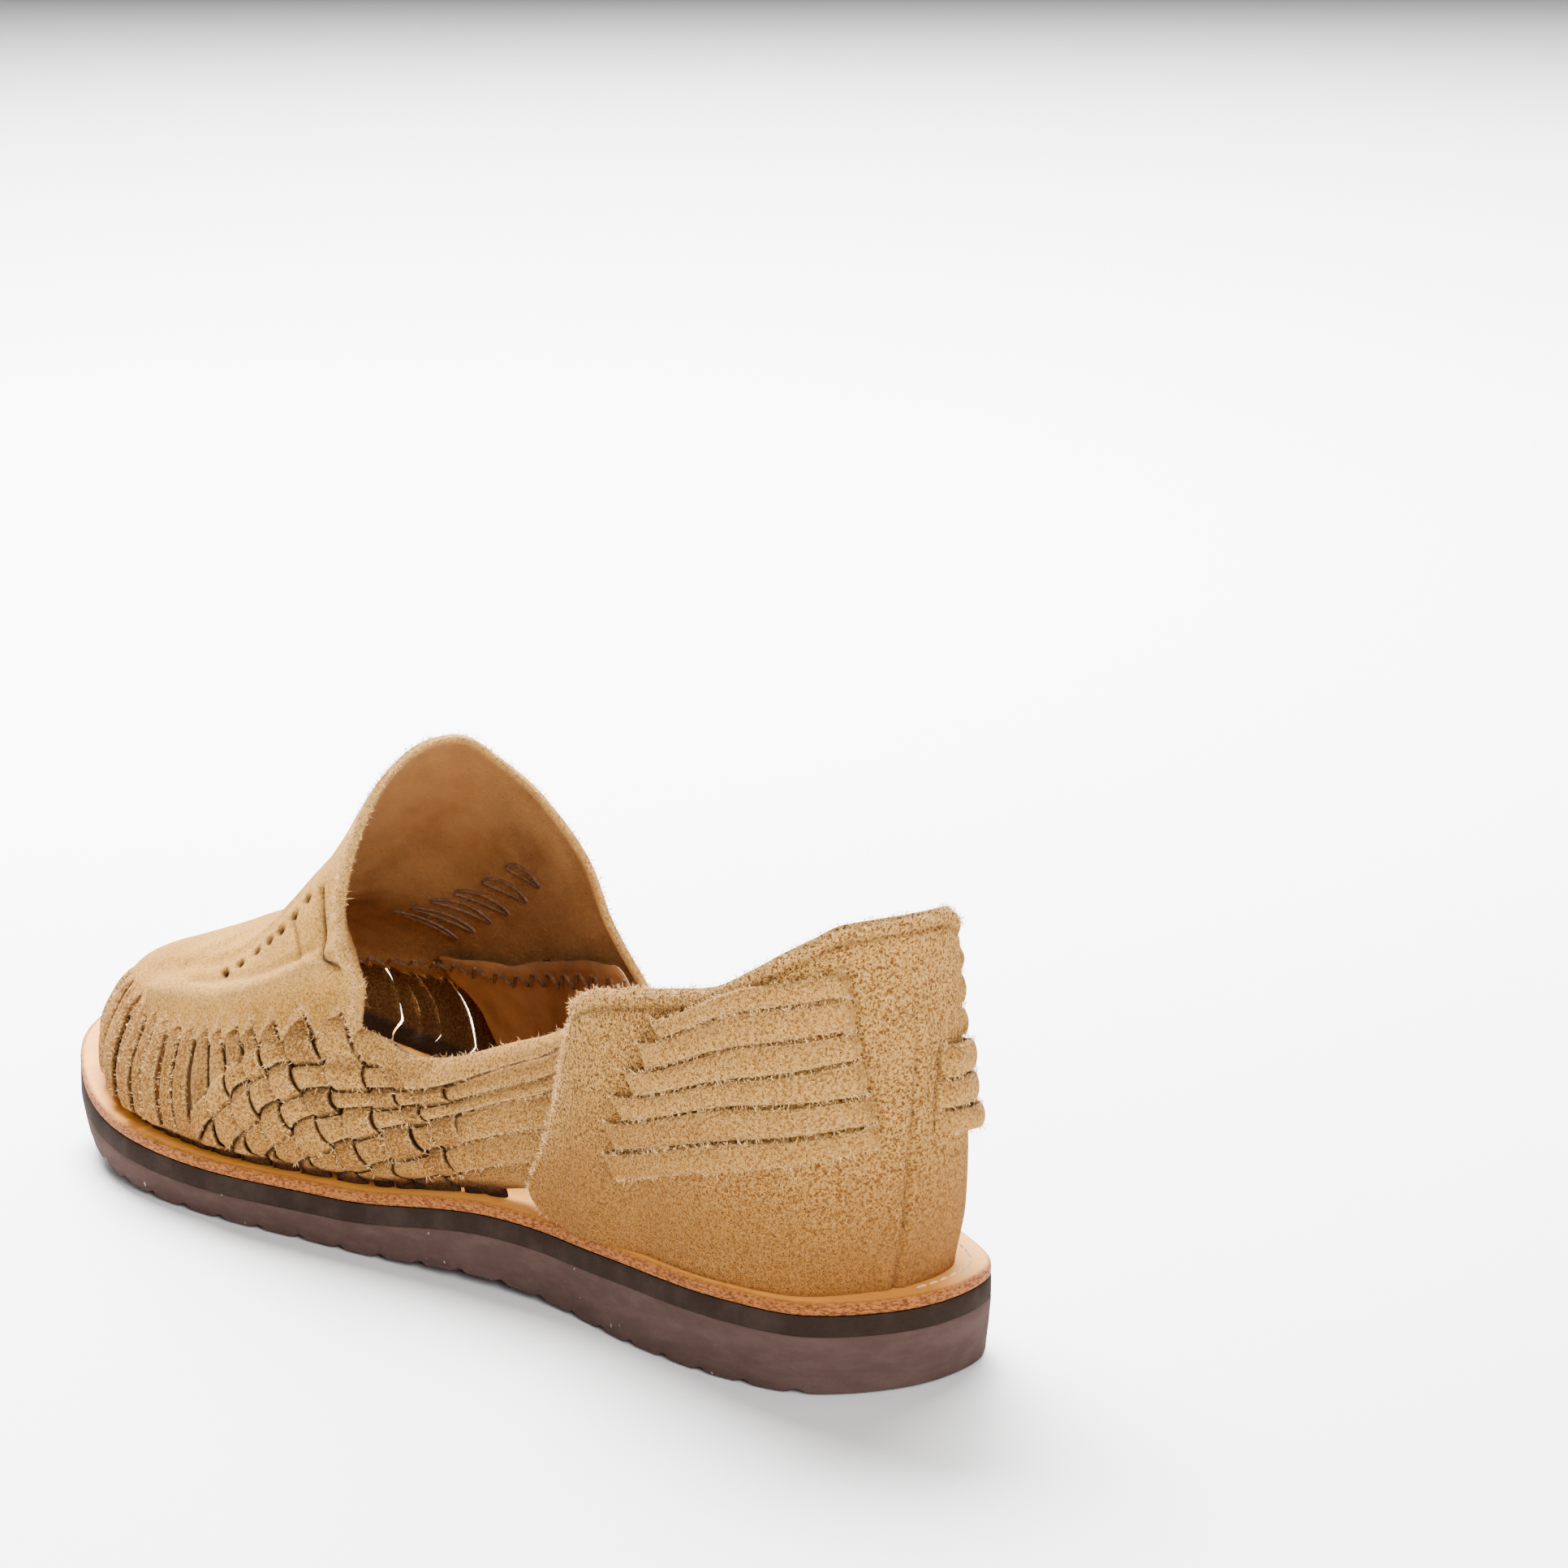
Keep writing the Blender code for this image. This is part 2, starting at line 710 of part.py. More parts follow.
def weave_side(sheet, side):
    """The woven side: falling and rising strips, then the straps to the counter."""
    falls = [Fall(sheet, side, k) for k in range(len(FALLS))]
    edge = [falls[0].tip]
    top_rise = len(RISES) - 1
    for k in range(len(falls) - 1):
        front, back = falls[k], falls[k + 1]
        shared = [m for m in range(len(RISES)) if m in front.marks and m in back.marks]
        lowest = shared[0]
        if back.foot is not None and back.foot != back.marks.get(lowest):
            corners = [front.foot, back.foot, back.marks[lowest], front.marks[lowest]]
            corners = list(dict.fromkeys(corners))
            cell(sheet, corners, True)
        for m, above in zip(shared, shared[1:]):
            corners = [front.marks[m], back.marks[m], back.marks[above], front.marks[above]]
            cell(sheet, corners, (k + m) % 2 == 0)
        m = shared[-1]
        if front.on_collar or front.is_corner:
            corners = [front.marks[m], back.marks[m], back.tip, front.tip]
            cell(sheet, corners, True)
            continue
        t = way_round(side, (front.top + back.top) / 2)
        high = EDGE_ARCH if not back.is_corner else (EDGE_POINT + back.high) / 2 + 0.01
        arch = sheet.point(t, high, EDGE_STEP)
        corners = [front.marks[m], back.marks[m], back.tip, arch, front.tip]
        corners = list(dict.fromkeys(corners))
        sheet.fan(corners, centre(sheet, corners, STRIP_RISE * 0.8))
        edge += [arch, back.tip]
    strap_rows(sheet, side, falls[-1], top_rise)
    return falls, edge


def strap_rows(sheet, side, fall, top_rise):
    """Six straps from the weave's end to inside the counter, a little apart."""
    def high(m, along):
        if m == top_rise:
            return collar_height(side, along)
        return rise_height(m, along)

    for m in range(top_rise):
        low_start = fall.marks[m]
        top_start = fall.marks[m + 1] if m + 1 < top_rise else fall.tip
        middle = centre(sheet, [low_start, top_start], STRIP_RISE / 2)
        sheet.tie(low_start, top_start, [middle])
        rows = [(low_start, middle, top_start)]
        for along in STRAP_STATIONS:
            t = way_round(side, along)
            low = high(m, along)
            top = high(m + 1, along)
            gap = STRAP_GAP / (SHOULDER * 3)
            rows.append((
                sheet.point(t, low + (gap if m else 0), 0.0),
                sheet.point(t, (low + top) / 2, STRIP_RISE * 0.8),
                sheet.point(t, top - (gap if m + 1 < top_rise else 0), 0.0),
            ))
        for a, b in zip(rows, rows[1:]):
            sheet.strip(a, b)


def toe_loops(sheet, outer, inner):
    """Loops round the toe, with a slit between each two."""
    start = sheet.place[outer[0].foot][0]
    end = sheet.place[inner[0].foot][0]
    top_start = sheet.place[outer[0].tip][0]
    top_end = sheet.place[inner[0].tip][0]
    count = round((end - start) * FEATHER_LENGTH / LOOP_WIDTH)
    rows = (0.0, 0.05, 0.12, 0.25, 0.305)
    edge = []

    def place(share, height):
        low = start + (end - start) * share
        top = top_start + (top_end - top_start) * share
        return low + (top - low) * (height / EDGE_POINT) ** FALL_BEND

    def gap_line(j):
        share = j / count
        if j in (0, count):
            fall = (outer if j == 0 else inner)[0]
            line = [fall.add(h, 0.0) for h in rows[1:]]
            line = [fall.foot, *line, fall.tip]
            return line, line
        first, second = [], []
        for h in rows:
            t = place(share, h)
            if h in rows[2:4]:
                half = LOOP_GAP / 2 / FEATHER_LENGTH
                first.append(sheet.point(t - half, h, 0.0))
                second.append(sheet.point(t + half, h, 0.0))
            else:
                shared = sheet.point(t, h, 0.0)
                first.append(shared)
                second.append(shared)
        tip = sheet.point(place(share, EDGE_POINT), EDGE_POINT, EDGE_STEP)
        return [*first, tip], [*second, tip]

    lines = [gap_line(j) for j in range(count + 1)]
    for j in range(count):
        share = (j + 0.5) / count
        mid = [sheet.point(place(share, h), h, STRIP_RISE) for h in (*rows, EDGE_POINT)]
        arch = sheet.point(place(share, EDGE_ARCH), EDGE_ARCH, EDGE_STEP)
        left = lines[j][1]
        right = lines[j + 1][0]
        sheet.strip(left, mid)
        sheet.strip(mid, right)
        sheet.faces += [(left[-1], arch, mid[-1]), (mid[-1], arch, right[-1])]
        edge += [arch, right[-1]]
    first_line, last_line = lines[0][0][1:-1], lines[-1][0][1:-1]
    return edge, first_line, last_line


def tongue_along(side, height):
    """Where the tongue's edge is at a height."""
    return through(height, column(TONGUE_EDGE, 0), column(TONGUE_EDGE, 1 if side > 0 else 2))


def vamp(sheet, edge):
    """The plain vamp and its standing tongue, joined to the toothed edge."""
    heights = np.r_[np.linspace(TONGUE_EDGE[0][0], 1, 13)[1:-1]]
    rim = [
        sheet.point(way_round(-1, tongue_along(-1, h)), h, VAMP_RISE) for h in heights
    ]
    rim.append(sheet.point(way_round(1, tongue_along(1, 1.0)), 1.0, VAMP_RISE))
    rim += [
        sheet.point(way_round(1, tongue_along(1, h)), h, VAMP_RISE) for h in heights[::-1]
    ]
    border = [*edge, *rim]
    inside = []
    for height in (0.425, 0.47, 0.53, 0.60, 0.68, 0.77, 0.87):
        t = np.linspace(
            way_round(1, tongue_along(1, height) + 0.020),
            way_round(-1, tongue_along(-1, height) + 0.020),
            300,
        )
        row = plan(t, np.full(len(t), height))
        walked = np.r_[0, np.cumsum(np.linalg.norm(np.diff(row, axis=0), axis=1))]
        count = round(walked[-1] / VAMP_STEP)
        for s in np.linspace(0, walked[-1], count + 1):
            inside.append(sheet.point(float(np.interp(s, walked, t)), height, VAMP_RISE))
    for along in np.arange(0.625, RIDGE_STOP + 0.02, 0.027):
        inside.append(sheet.point(way_round(1, along), 1.0, VAMP_RISE))
    numbers = border + inside
    place = np.array([sheet.place[n][:2] for n in numbers])
    flat = plan(place[:, 0], place[:, 1])
    corners = [Vector(p) for p in flat.tolist()]
    size = len(border)
    outline = [(i, (i + 1) % size) for i in range(size)]
    made = delaunay_2d_cdt(corners, outline, [list(range(size))], 1, 1e-7)
    for face in made[2]:
        sheet.faces.append(tuple(numbers[made[3][v][0]] for v in face))


def build_upper():
    """The upper as one woven and folded sheet of leather."""
    sheet = Sheet()
    outer, outer_edge = weave_side(sheet, 1)
    inner, inner_edge = weave_side(sheet, -1)
    loops, first_line, last_line = toe_loops(sheet, outer, inner)
    for falls, line in ((outer, first_line), (inner, last_line)):
        sheet.tie(falls[0].foot, falls[0].tip, line)
    edge = [*outer_edge[::-1], *loops[:-1], *inner_edge]
    vamp(sheet, edge)
    suede = material("suede_upper", (0.50, 0.33, 0.175), 0.95)
    return sheet.solid("upper", suede, None, 50)


def counter_standoff(t, height):
    """The counter lies over the side straps in front and on the foot behind."""
    along = foot(t)[:, 1] / LENGTH
    over = STRIP_RISE + LEATHER + FIT + COUNTER_CLEAR
    return over * through(along, (0.19, 0.26), (0, 1))


def build_counter():
    """The heel counter, with the straps raised on it between their slots."""
    sheet = Sheet()
    halves = []
    for side in (1, -1):
        halves.append(counter_half(sheet, side))
    seam = []
    for outer_row, inner_row in zip(*halves):
        height = sheet.place[outer_row[-1]][1]
        seam.append(sheet.point(0.0, height, -0.0003))
    for half in halves:
        rows = [[*row, seam[k]] for k, row in enumerate(half)]
        for low, high in zip(rows, rows[1:]):
            sheet.strip(low, high)
    suede = material("suede_counter", (0.47, 0.29, 0.14), 0.95)
    return sheet.solid("heel_counter", suede, counter_standoff, 50)


def counter_half(sheet, side):
    """Rows of points from the front edge to beside the back seam, the lowest first."""
    rear_t = REAR_SLOT / FEATHER_LENGTH
    middle_t = way_round(1, STRAP_MIDDLE)

    def line(front_height, slot, slot_height, middle_height, rear_height, lift):
        front_along = through(front_height, column(COUNTER_FRONT, 0), column(COUNTER_FRONT, 1))
        front_t = way_round(1, front_along)
        slot_t = way_round(1, slot)
        knots = (0.0, rear_t, middle_t, slot_t, front_t)
        heights = (rear_height, rear_height, middle_height, slot_height, front_height)
        run = slot_t - rear_t
        places = [front_t, front_t * 0.6 + slot_t * 0.4, slot_t]
        lifts = [0.0, 0.0, 0.0]
        for share in (0.035, 0.25, 0.5, 0.75, 0.965):
            places.append(slot_t - run * share)
            lifts.append(lift)
        places += [rear_t, rear_t * 0.45]
        lifts += [0.0, 0.0]
        row = []
        for t, raised in zip(places, lifts):
            height = float(through(t, knots, heights))
            row.append(sheet.point(t if side > 0 else 1 - t, height, raised))
        return row

    def between(a, b, share):
        return [p + (q - p) * share for p, q in zip(a, b)]

    straps = [list(row) for row in COUNTER_STRAPS]
    base = [0.0, straps[0][1], 0.0, 0.0, 0.0]
    rows = [line(*base, 0.0), line(*between(base, straps[0], 0.5), 0.0)]
    for k, strap in enumerate(straps):
        rows.append(line(*strap, 0.0))
        if k + 1 < len(straps):
            for share in (0.14, 0.86):
                rows.append(line(*between(strap, straps[k + 1], share), STRAP_RISE))
    top = []
    for number in rows[-1]:
        t = sheet.place[number][0]
        own = t if side > 0 else 1 - t
        along = float(foot(np.array([own]))[0, 1] / LENGTH)
        high = float(through(along, column(COUNTER_TOP, 0), column(COUNTER_TOP, 1)))
        high = max(high, sheet.place[number][1] + 0.012)
        top.append(sheet.point(t, high, 0.0))
    rows.append(top)
    return rows


def main():
    """Builds the whole sandal."""
    for made in list(bpy.data.objects):
        bpy.data.objects.remove(made)
    build_sole()
    build_upper()
    build_counter()


main()
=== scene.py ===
# %% [markdown]
# # A huarache sandal, the left shoe
#
# A huarache is woven from narrow leather strips. A plain vamp with a standing
# tongue is laced to the footbed by loops round the toe and by a diagonal weave
# at the sides. The weave runs back into six straps, which pass through slots in
# a suede heel counter. Below it are a leather footbed, a dark midsole and a
# rubber outsole with white specks.
#
# This script dresses the packed model. It loads that model as a fixed frame,
# makes finer pieces in the same places, and gives each one its material.

import math

import bmesh
import bpy
import numpy as np
from mathutils import Matrix


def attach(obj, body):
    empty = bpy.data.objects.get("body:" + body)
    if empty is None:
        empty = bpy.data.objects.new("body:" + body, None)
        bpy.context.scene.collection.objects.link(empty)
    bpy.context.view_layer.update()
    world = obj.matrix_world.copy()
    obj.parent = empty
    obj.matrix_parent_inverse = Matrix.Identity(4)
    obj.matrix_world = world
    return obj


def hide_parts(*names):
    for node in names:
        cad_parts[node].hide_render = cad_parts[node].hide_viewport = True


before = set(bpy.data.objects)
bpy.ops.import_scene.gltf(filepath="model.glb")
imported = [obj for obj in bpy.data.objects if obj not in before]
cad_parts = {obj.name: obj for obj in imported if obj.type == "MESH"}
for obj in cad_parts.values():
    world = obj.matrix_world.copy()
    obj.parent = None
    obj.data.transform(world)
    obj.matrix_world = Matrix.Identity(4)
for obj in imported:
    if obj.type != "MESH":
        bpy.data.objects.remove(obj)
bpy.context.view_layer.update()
print("nodes:", ", ".join(sorted(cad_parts)))

# %% [markdown]
# ## The sandal's own sizes
#
# A shoemaker works from a last, a form of the foot, and from the sole's
# outline. The same few sizes that shape the solid model are written here, so
# that each finer piece falls on it. Tables hold shares of the length, of half
# the ball's width, or of the way from the footbed's edge up to the ridge of
# the foot.

# %% Sizes, in metres
LENGTH = 0.290
BALL_WIDTH = 0.0965
FOOTBED_THICK = 0.0028
MIDSOLE_THICK = 0.0045
HEEL_STACK = 0.0172
TOE_SPRING = 0.0141
SOLE_TAPER = 0.0011
TREAD_PITCH = 0.0120
TREAD_GROOVE = 0.0036
TREAD_DEPTH = 0.0014
LEATHER = 0.0018
STRIP = 0.0013
LOOP_WIDTH = 0.0062
SHOULDER = 0.034
TONGUE_HEIGHT = 0.0895
TUCK = 0.0045
MARGIN = 0.0065
HEEL_TIP_SHIFT = 0.008
TOE_TIP_SHIFT = -0.097
RIDGE_START = 0.150
RIDGE_STOP = 0.915
RIDGE_SOFT = 0.0414
PEAK_ROUND = 0.236

OUTLINE = (
    # along, outer, inner
    (0.030, 0.474, 0.505), (0.100, 0.640, 0.709), (0.200, 0.680, 0.800),
    (0.320, 0.635, 0.707), (0.440, 0.765, 0.650), (0.560, 0.915, 0.773),
    (0.680, 1.075, 0.880), (0.790, 1.110, 0.888), (0.890, 0.945, 0.785),
    (0.960, 0.650, 0.640),
)
PROFILE = (
    # along, lift, stack
    (0.00, 0.00, 1.000), (0.20, 0.00, 1.035), (0.27, 0.00, 0.980),
    (0.40, 0.14, 0.850), (0.54, 0.00, 0.690), (0.68, 0.00, 0.640),
    (0.80, 0.09, 0.660), (0.90, 0.38, 0.675), (1.00, 1.00, 0.690),
)
BORDER = (
    # along, outer, inner
    (0.00, 1.00, 1.00), (0.05, 0.55, 1.23), (0.15, 0.34, 1.00),
    (0.30, 0.62, 0.69), (0.45, 0.69, 0.46), (0.60, 0.46, 0.46),
    (0.75, 0.54, 0.54), (0.88, 1.00, 0.85), (0.94, 1.31, 1.23),
    (1.00, 1.46, 1.46),
)
BODY = (
    # along, crown, shoulder, lean, tuck, heel, ridge
    (0.00, 1.300, 3.200, 0.30, 0.55, 1.0, 0.000),
    (0.10, 1.300, 3.200, 0.25, 0.45, 1.0, 0.000),
    (0.24, 1.300, 3.050, 0.20, 0.40, 1.0, 0.000),
    (0.34, 1.280, 2.000, 0.45, 0.35, 0.7, 0.002),
    (0.46, 1.180, 1.150, 0.90, 0.31, 0.0, 0.005),
    (0.60, 1.020, 1.065, 1.00, 0.31, 0.0, 0.010),
    (0.675, 0.752, 1.033, 1.00, 0.31, 0.0, 0.000),
    (0.735, 0.560, 1.010, 1.00, 0.31, 0.0, -0.010),
    (0.80, 0.459, 0.979, 1.00, 0.31, 0.0, 0.010),
    (0.87, 0.332, 0.955, 1.00, 0.31, 0.0, 0.060),
    (0.91, 0.236, 0.720, 1.00, 0.31, 0.0, 0.073),
    (0.96, 0.156, 0.524, 1.00, 0.31, 0.0, 0.060),
)
print("sole", LENGTH, "long and", BALL_WIDTH, "wide at the ball")

# %% [markdown]
# ## Curves through short tables
#
# A leather worker's paper pattern is drawn through a few measured points. Here
# one function draws a smooth curve through a table's rows without overshoot.
# It uses Hermite pieces: each stretch is fixed by its two ends and the slopes
# there.


# %% Curves
def column(table, number):
    return [row[number] for row in table]


def hermite(t, h, start, end, slope_start, slope_end):
    near = start * (1 + 2 * t) * (1 - t) ** 2 + slope_start * h * t * (1 - t) ** 2
    far = end * t * t * (3 - 2 * t) + slope_end * h * t * t * (t - 1)
    return near + far


def through(x, xs, ys):
    xs, ys = np.asarray(xs, float), np.asarray(ys, float)
    x = np.clip(x, xs[0], xs[-1])
    step = np.diff(xs)
    rise = np.diff(ys) / step
    slope = np.zeros(len(xs))
    slope[0], slope[-1] = rise[0], rise[-1]
    same = rise[:-1] * rise[1:] > 0
    a, b = 2 * step[1:] + step[:-1], step[1:] + 2 * step[:-1]
    lower, upper = np.where(same, rise[:-1], 1), np.where(same, rise[1:], 1)
    slope[1:-1] = np.where(same, (a + b) / (a / lower + b / upper), 0)
    i = np.clip(np.searchsorted(xs, x, side="right") - 1, 0, len(xs) - 2)
    t = (x - xs[i]) / step[i]
    return hermite(t, step[i], ys[i], ys[i + 1], slope[i], slope[i + 1])


def smooth(x, low, high):
    """0 at low, 1 at high, and an even ramp with soft ends between."""
    t = np.clip((x - low) / (high - low), 0, 1)
    return t * t * (3 - 2 * t)


print("a curve through 0, 1 and 4 is at", round(float(through(1.5, (0, 1, 2), (0, 1, 4))), 3),
      "half way to the last")

# %% [markdown]
# A closed line, such as the sole's outline, is drawn with the same pieces and
# then cut into equal steps.

# %% Closed rings
PIECE_STEPS = 40


def evenly(loop, count):
    closed = np.vstack([loop, loop[:1]])
    along = np.r_[0, np.cumsum(np.linalg.norm(np.diff(closed, axis=0), axis=1))]
    s = np.linspace(0, along[-1], count, endpoint=False)
    return np.column_stack([np.interp(s, along, closed[:, k]) for k in (0, 1)])


def ring(points, count):
    p = np.asarray(points, float)
    gap = np.sqrt(np.linalg.norm(np.roll(p, -1, 0) - p, axis=1))
    before, after = np.roll(gap, 1)[:, None], gap[:, None]
    back, ahead = p - np.roll(p, 1, 0), np.roll(p, -1, 0) - p
    slope = (back / before * after + ahead / after * before) / (before + after)
    t = np.linspace(0, 1, PIECE_STEPS, endpoint=False)[:, None]
    nexts = np.roll(np.arange(len(p)), -1)
    dense = [hermite(t, gap[i], p[i], p[j], slope[i], slope[j]) for i, j in enumerate(nexts)]
    return evenly(np.concatenate(dense), count)


def inward(loop):
    along = np.roll(loop, -1, 0) - np.roll(loop, 1, 0)
    along /= np.linalg.norm(along, axis=1)[:, None]
    return np.column_stack([-along[:, 1], along[:, 0]])


print("a ring through 4 corners of a 2 m square reaches",
      round(float(ring([(1, 1), (-1, 1), (-1, -1), (1, -1)], 80)[:, 0].max()), 3), "m")

# %% [markdown]
# ## The sole's outline and heights
#
# The outline is a closed ring through ten rows of widths. The sole springs up
# at the toe and is thickest at the heel, and both are read from one table.


# %% Outline and sole heights
def sole_outline(count=720):
    half = BALL_WIDTH / 2
    outer = [(o * half, a * LENGTH) for a, o, _ in OUTLINE]
    inner = [(-i * half, a * LENGTH) for a, _, i in reversed(OUTLINE)]
    heel, toe = (HEEL_TIP_SHIFT * half, 0.0), (TOE_TIP_SHIFT * half, LENGTH)
    return ring([heel, *outer, toe, *inner], count)


def sole_bottom(u):
    return TOE_SPRING * through(u / LENGTH, column(PROFILE, 0), column(PROFILE, 1))


def stack(u):
    return HEEL_STACK * through(u / LENGTH, column(PROFILE, 0), column(PROFILE, 2))


def footbed_top(u):
    return sole_bottom(u) + stack(u) + FOOTBED_THICK


OUTLINE_X = sole_outline()[:, 0]
MIDDLE_X = (OUTLINE_X.min() + OUTLINE_X.max()) / 2
print("the footbed lies", np.round(footbed_top(np.array([0.0, LENGTH])), 4),
      "m above the floor at the heel and the toe")

# %% [markdown]
# ## The feather line
#
# The feather line, where the upper meets the footbed, lies a few millimetres
# inside the outline. A place round it is a share from 0 at the heel, over the
# outer side to the toe and back to 1 along the inner side.


# %% Feather line
SIDE_BLEND = 0.004


def ridge(u):
    return BALL_WIDTH * through(u / LENGTH, column(BODY, 0), column(BODY, 6))


def feather_line(count=960):
    loop = sole_outline()
    share = loop[:, 1] / LENGTH
    outer = MARGIN * through(share, column(BORDER, 0), column(BORDER, 1))
    inner = MARGIN * through(share, column(BORDER, 0), column(BORDER, 2))
    side = 1 / (1 + np.exp(-(loop[:, 0] - ridge(loop[:, 1])) / SIDE_BLEND))
    inset = outer * side + inner * (1 - side)
    return evenly(loop + inward(loop) * inset[:, None], count)


FEATHER = feather_line()
FEATHER_LENGTH = np.linalg.norm(np.roll(FEATHER, -1, 0) - FEATHER, axis=1).sum()
TOE_INDEX = int(FEATHER[:, 1].argmax())
TOE_T = TOE_INDEX / len(FEATHER)


def foot(t):
    grid = np.arange(len(FEATHER) + 1) / len(FEATHER)
    closed = np.vstack([FEATHER, FEATHER[:1]])
    return np.column_stack([np.interp(np.mod(t, 1), grid, closed[:, k]) for k in (0, 1)])


def way_round(side, along):
    """Place round of a share of the length, on the outer side (1) or the inner (-1)."""
    if side > 0:
        half = np.arange(TOE_INDEX + 1)
        return np.interp(along, FEATHER[half, 1] / LENGTH, half / len(FEATHER))
    half = np.arange(len(FEATHER), TOE_INDEX - 1, -1)
    return np.interp(along, FEATHER[half % len(FEATHER), 1] / LENGTH, half / len(FEATHER))


print("the feather line is", round(FEATHER_LENGTH, 4), "m round and its toe is at", round(TOE_T, 3))

# %% [markdown]
# ## The last
#
# From the feather line a wall rises to the shoulder and rolls over to the ridge
# of the foot: that surface is the last. Every strip and panel is placed on it
# by two numbers, its place round the feather line and its height towards the
# ridge.


# %% The last
ACROSS_POWER, RISE_POWER, PEAK_POWER = 0.708, 0.829, 1.368
SWELL_STOP, HEEL_SWELL, UPRIGHT = 0.45, 0.05, 0.5
LEVEL_LOW, LEVEL_HIGH = 0.012, 0.985
STEP_T, STEP_H = 0.0012, 0.008


def ridge_point(u):
    soft, stop, start = RIDGE_SOFT * LENGTH, RIDGE_STOP * LENGTH, RIDGE_START * LENGTH
    along = stop - soft * np.log1p(np.exp((stop - u) / soft))
    along = start + soft * np.log1p(np.exp((along - start) / soft))
    return np.column_stack([ridge(along), along])


def last(t, height):
    start = foot(t)
    u = start[:, 1]
    top = ridge_point(u)
    top_u = top[:, 1]
    rows = column(BODY, 0)
    crown = TONGUE_HEIGHT * through(top_u / LENGTH, rows, column(BODY, 1))
    shoulder = SHOULDER * through(top_u / LENGTH, rows, column(BODY, 2))
    lean = through(u / LENGTH, rows, column(BODY, 3))
    tuck = TUCK * through(u / LENGTH, rows, column(BODY, 4))
    heel = through(u / LENGTH, rows, column(BODY, 5))
    height = np.clip(height, 0, 1)
    angle = height * np.pi / 2
    across = 1 - np.maximum(np.cos(angle), 0) ** ACROSS_POWER
    rise = np.sin(angle) ** RISE_POWER
    low = np.sqrt((1 - across) ** 2 + PEAK_ROUND**2) - PEAK_ROUND
    peak = 1 - (low / (np.sqrt(1 + PEAK_ROUND**2) - PEAK_ROUND)) ** PEAK_POWER
    swell = np.sin(np.pi * np.clip(height / SWELL_STOP, 0, 1)) * (1 - heel)
    swell = swell + (1 - np.exp(-height / HEEL_SWELL)) * heel
    way = top - start
    size = np.maximum(np.linalg.norm(way, axis=1), 1e-6)
    lean = lean + (1 - lean) * np.clip((height - UPRIGHT) / UPRIGHT, 0, 1)
    flat = start + way * (across * lean - tuck * swell / size)[:, None]
    z = footbed_top(u) + (footbed_top(top_u) - footbed_top(u)) * rise
    z = z + shoulder * rise + (crown - shoulder) * peak
    return np.column_stack([flat[:, 0] - MIDDLE_X, LENGTH / 2 - flat[:, 1], z])


def on_last(t, height, lift, sink=0.0):
    """Points lifted off the last along its own normal, then sunk straight down."""
    given = np.broadcast_arrays(t, height, lift, sink)
    shape = given[0].shape
    t, height, lift, sink = (np.asarray(v, float).ravel() for v in given)
    level = np.clip(height, LEVEL_LOW, LEVEL_HIGH)
    along = last(t + STEP_T, level) - last(t - STEP_T, level)
    up = last(t, level + STEP_H) - last(t, level - STEP_H)
    normal = np.cross(up, along)
    normal /= np.linalg.norm(normal, axis=1)[:, None]
    points = last(t, height) + normal * lift[:, None]
    points[:, 2] -= sink
    return points.reshape(*shape, 3)


print("a lift of 10 mm moves the outer side by",
      np.round(on_last(0.25, 0.2, 0.01) - on_last(0.25, 0.2, 0.0), 4))

# %% [markdown]
# ## Meshes from rows of points
#
# Almost every piece here is a grid: rows of points, joined by quads. A strip
# of leather is a grid whose rows go right round its section, closed by a cap
# at each end. Numbers that a material needs, such as how near a point is to
# the sole, are stored on the mesh as attributes.


# %% Faces of a grid
def grid_faces(rows, columns, closed=False, start=0):
    """Quads of a grid; a closed grid also joins its last column to its first."""
    i = np.arange(rows - 1)[:, None] * columns
    j = np.arange(columns if closed else columns - 1)[None]
    k = (j + 1) % columns
    quads = np.stack([i + j, i + k, i + columns + k, i + columns + j], -1)
    return (quads.reshape(-1, 4) + start).tolist()


def tidy_mesh(mesh, weld=None):
    """Joins doubled points if asked, and turns every face outwards."""
    work = bmesh.new()
    work.from_mesh(mesh)
    if weld:
        bmesh.ops.remove_doubles(work, verts=work.verts, dist=weld)
    bmesh.ops.recalc_face_normals(work, faces=work.faces)
    work.to_mesh(mesh)
    work.free()


print("a grid of 3 by 4 points has", len(grid_faces(3, 4)), "quads")


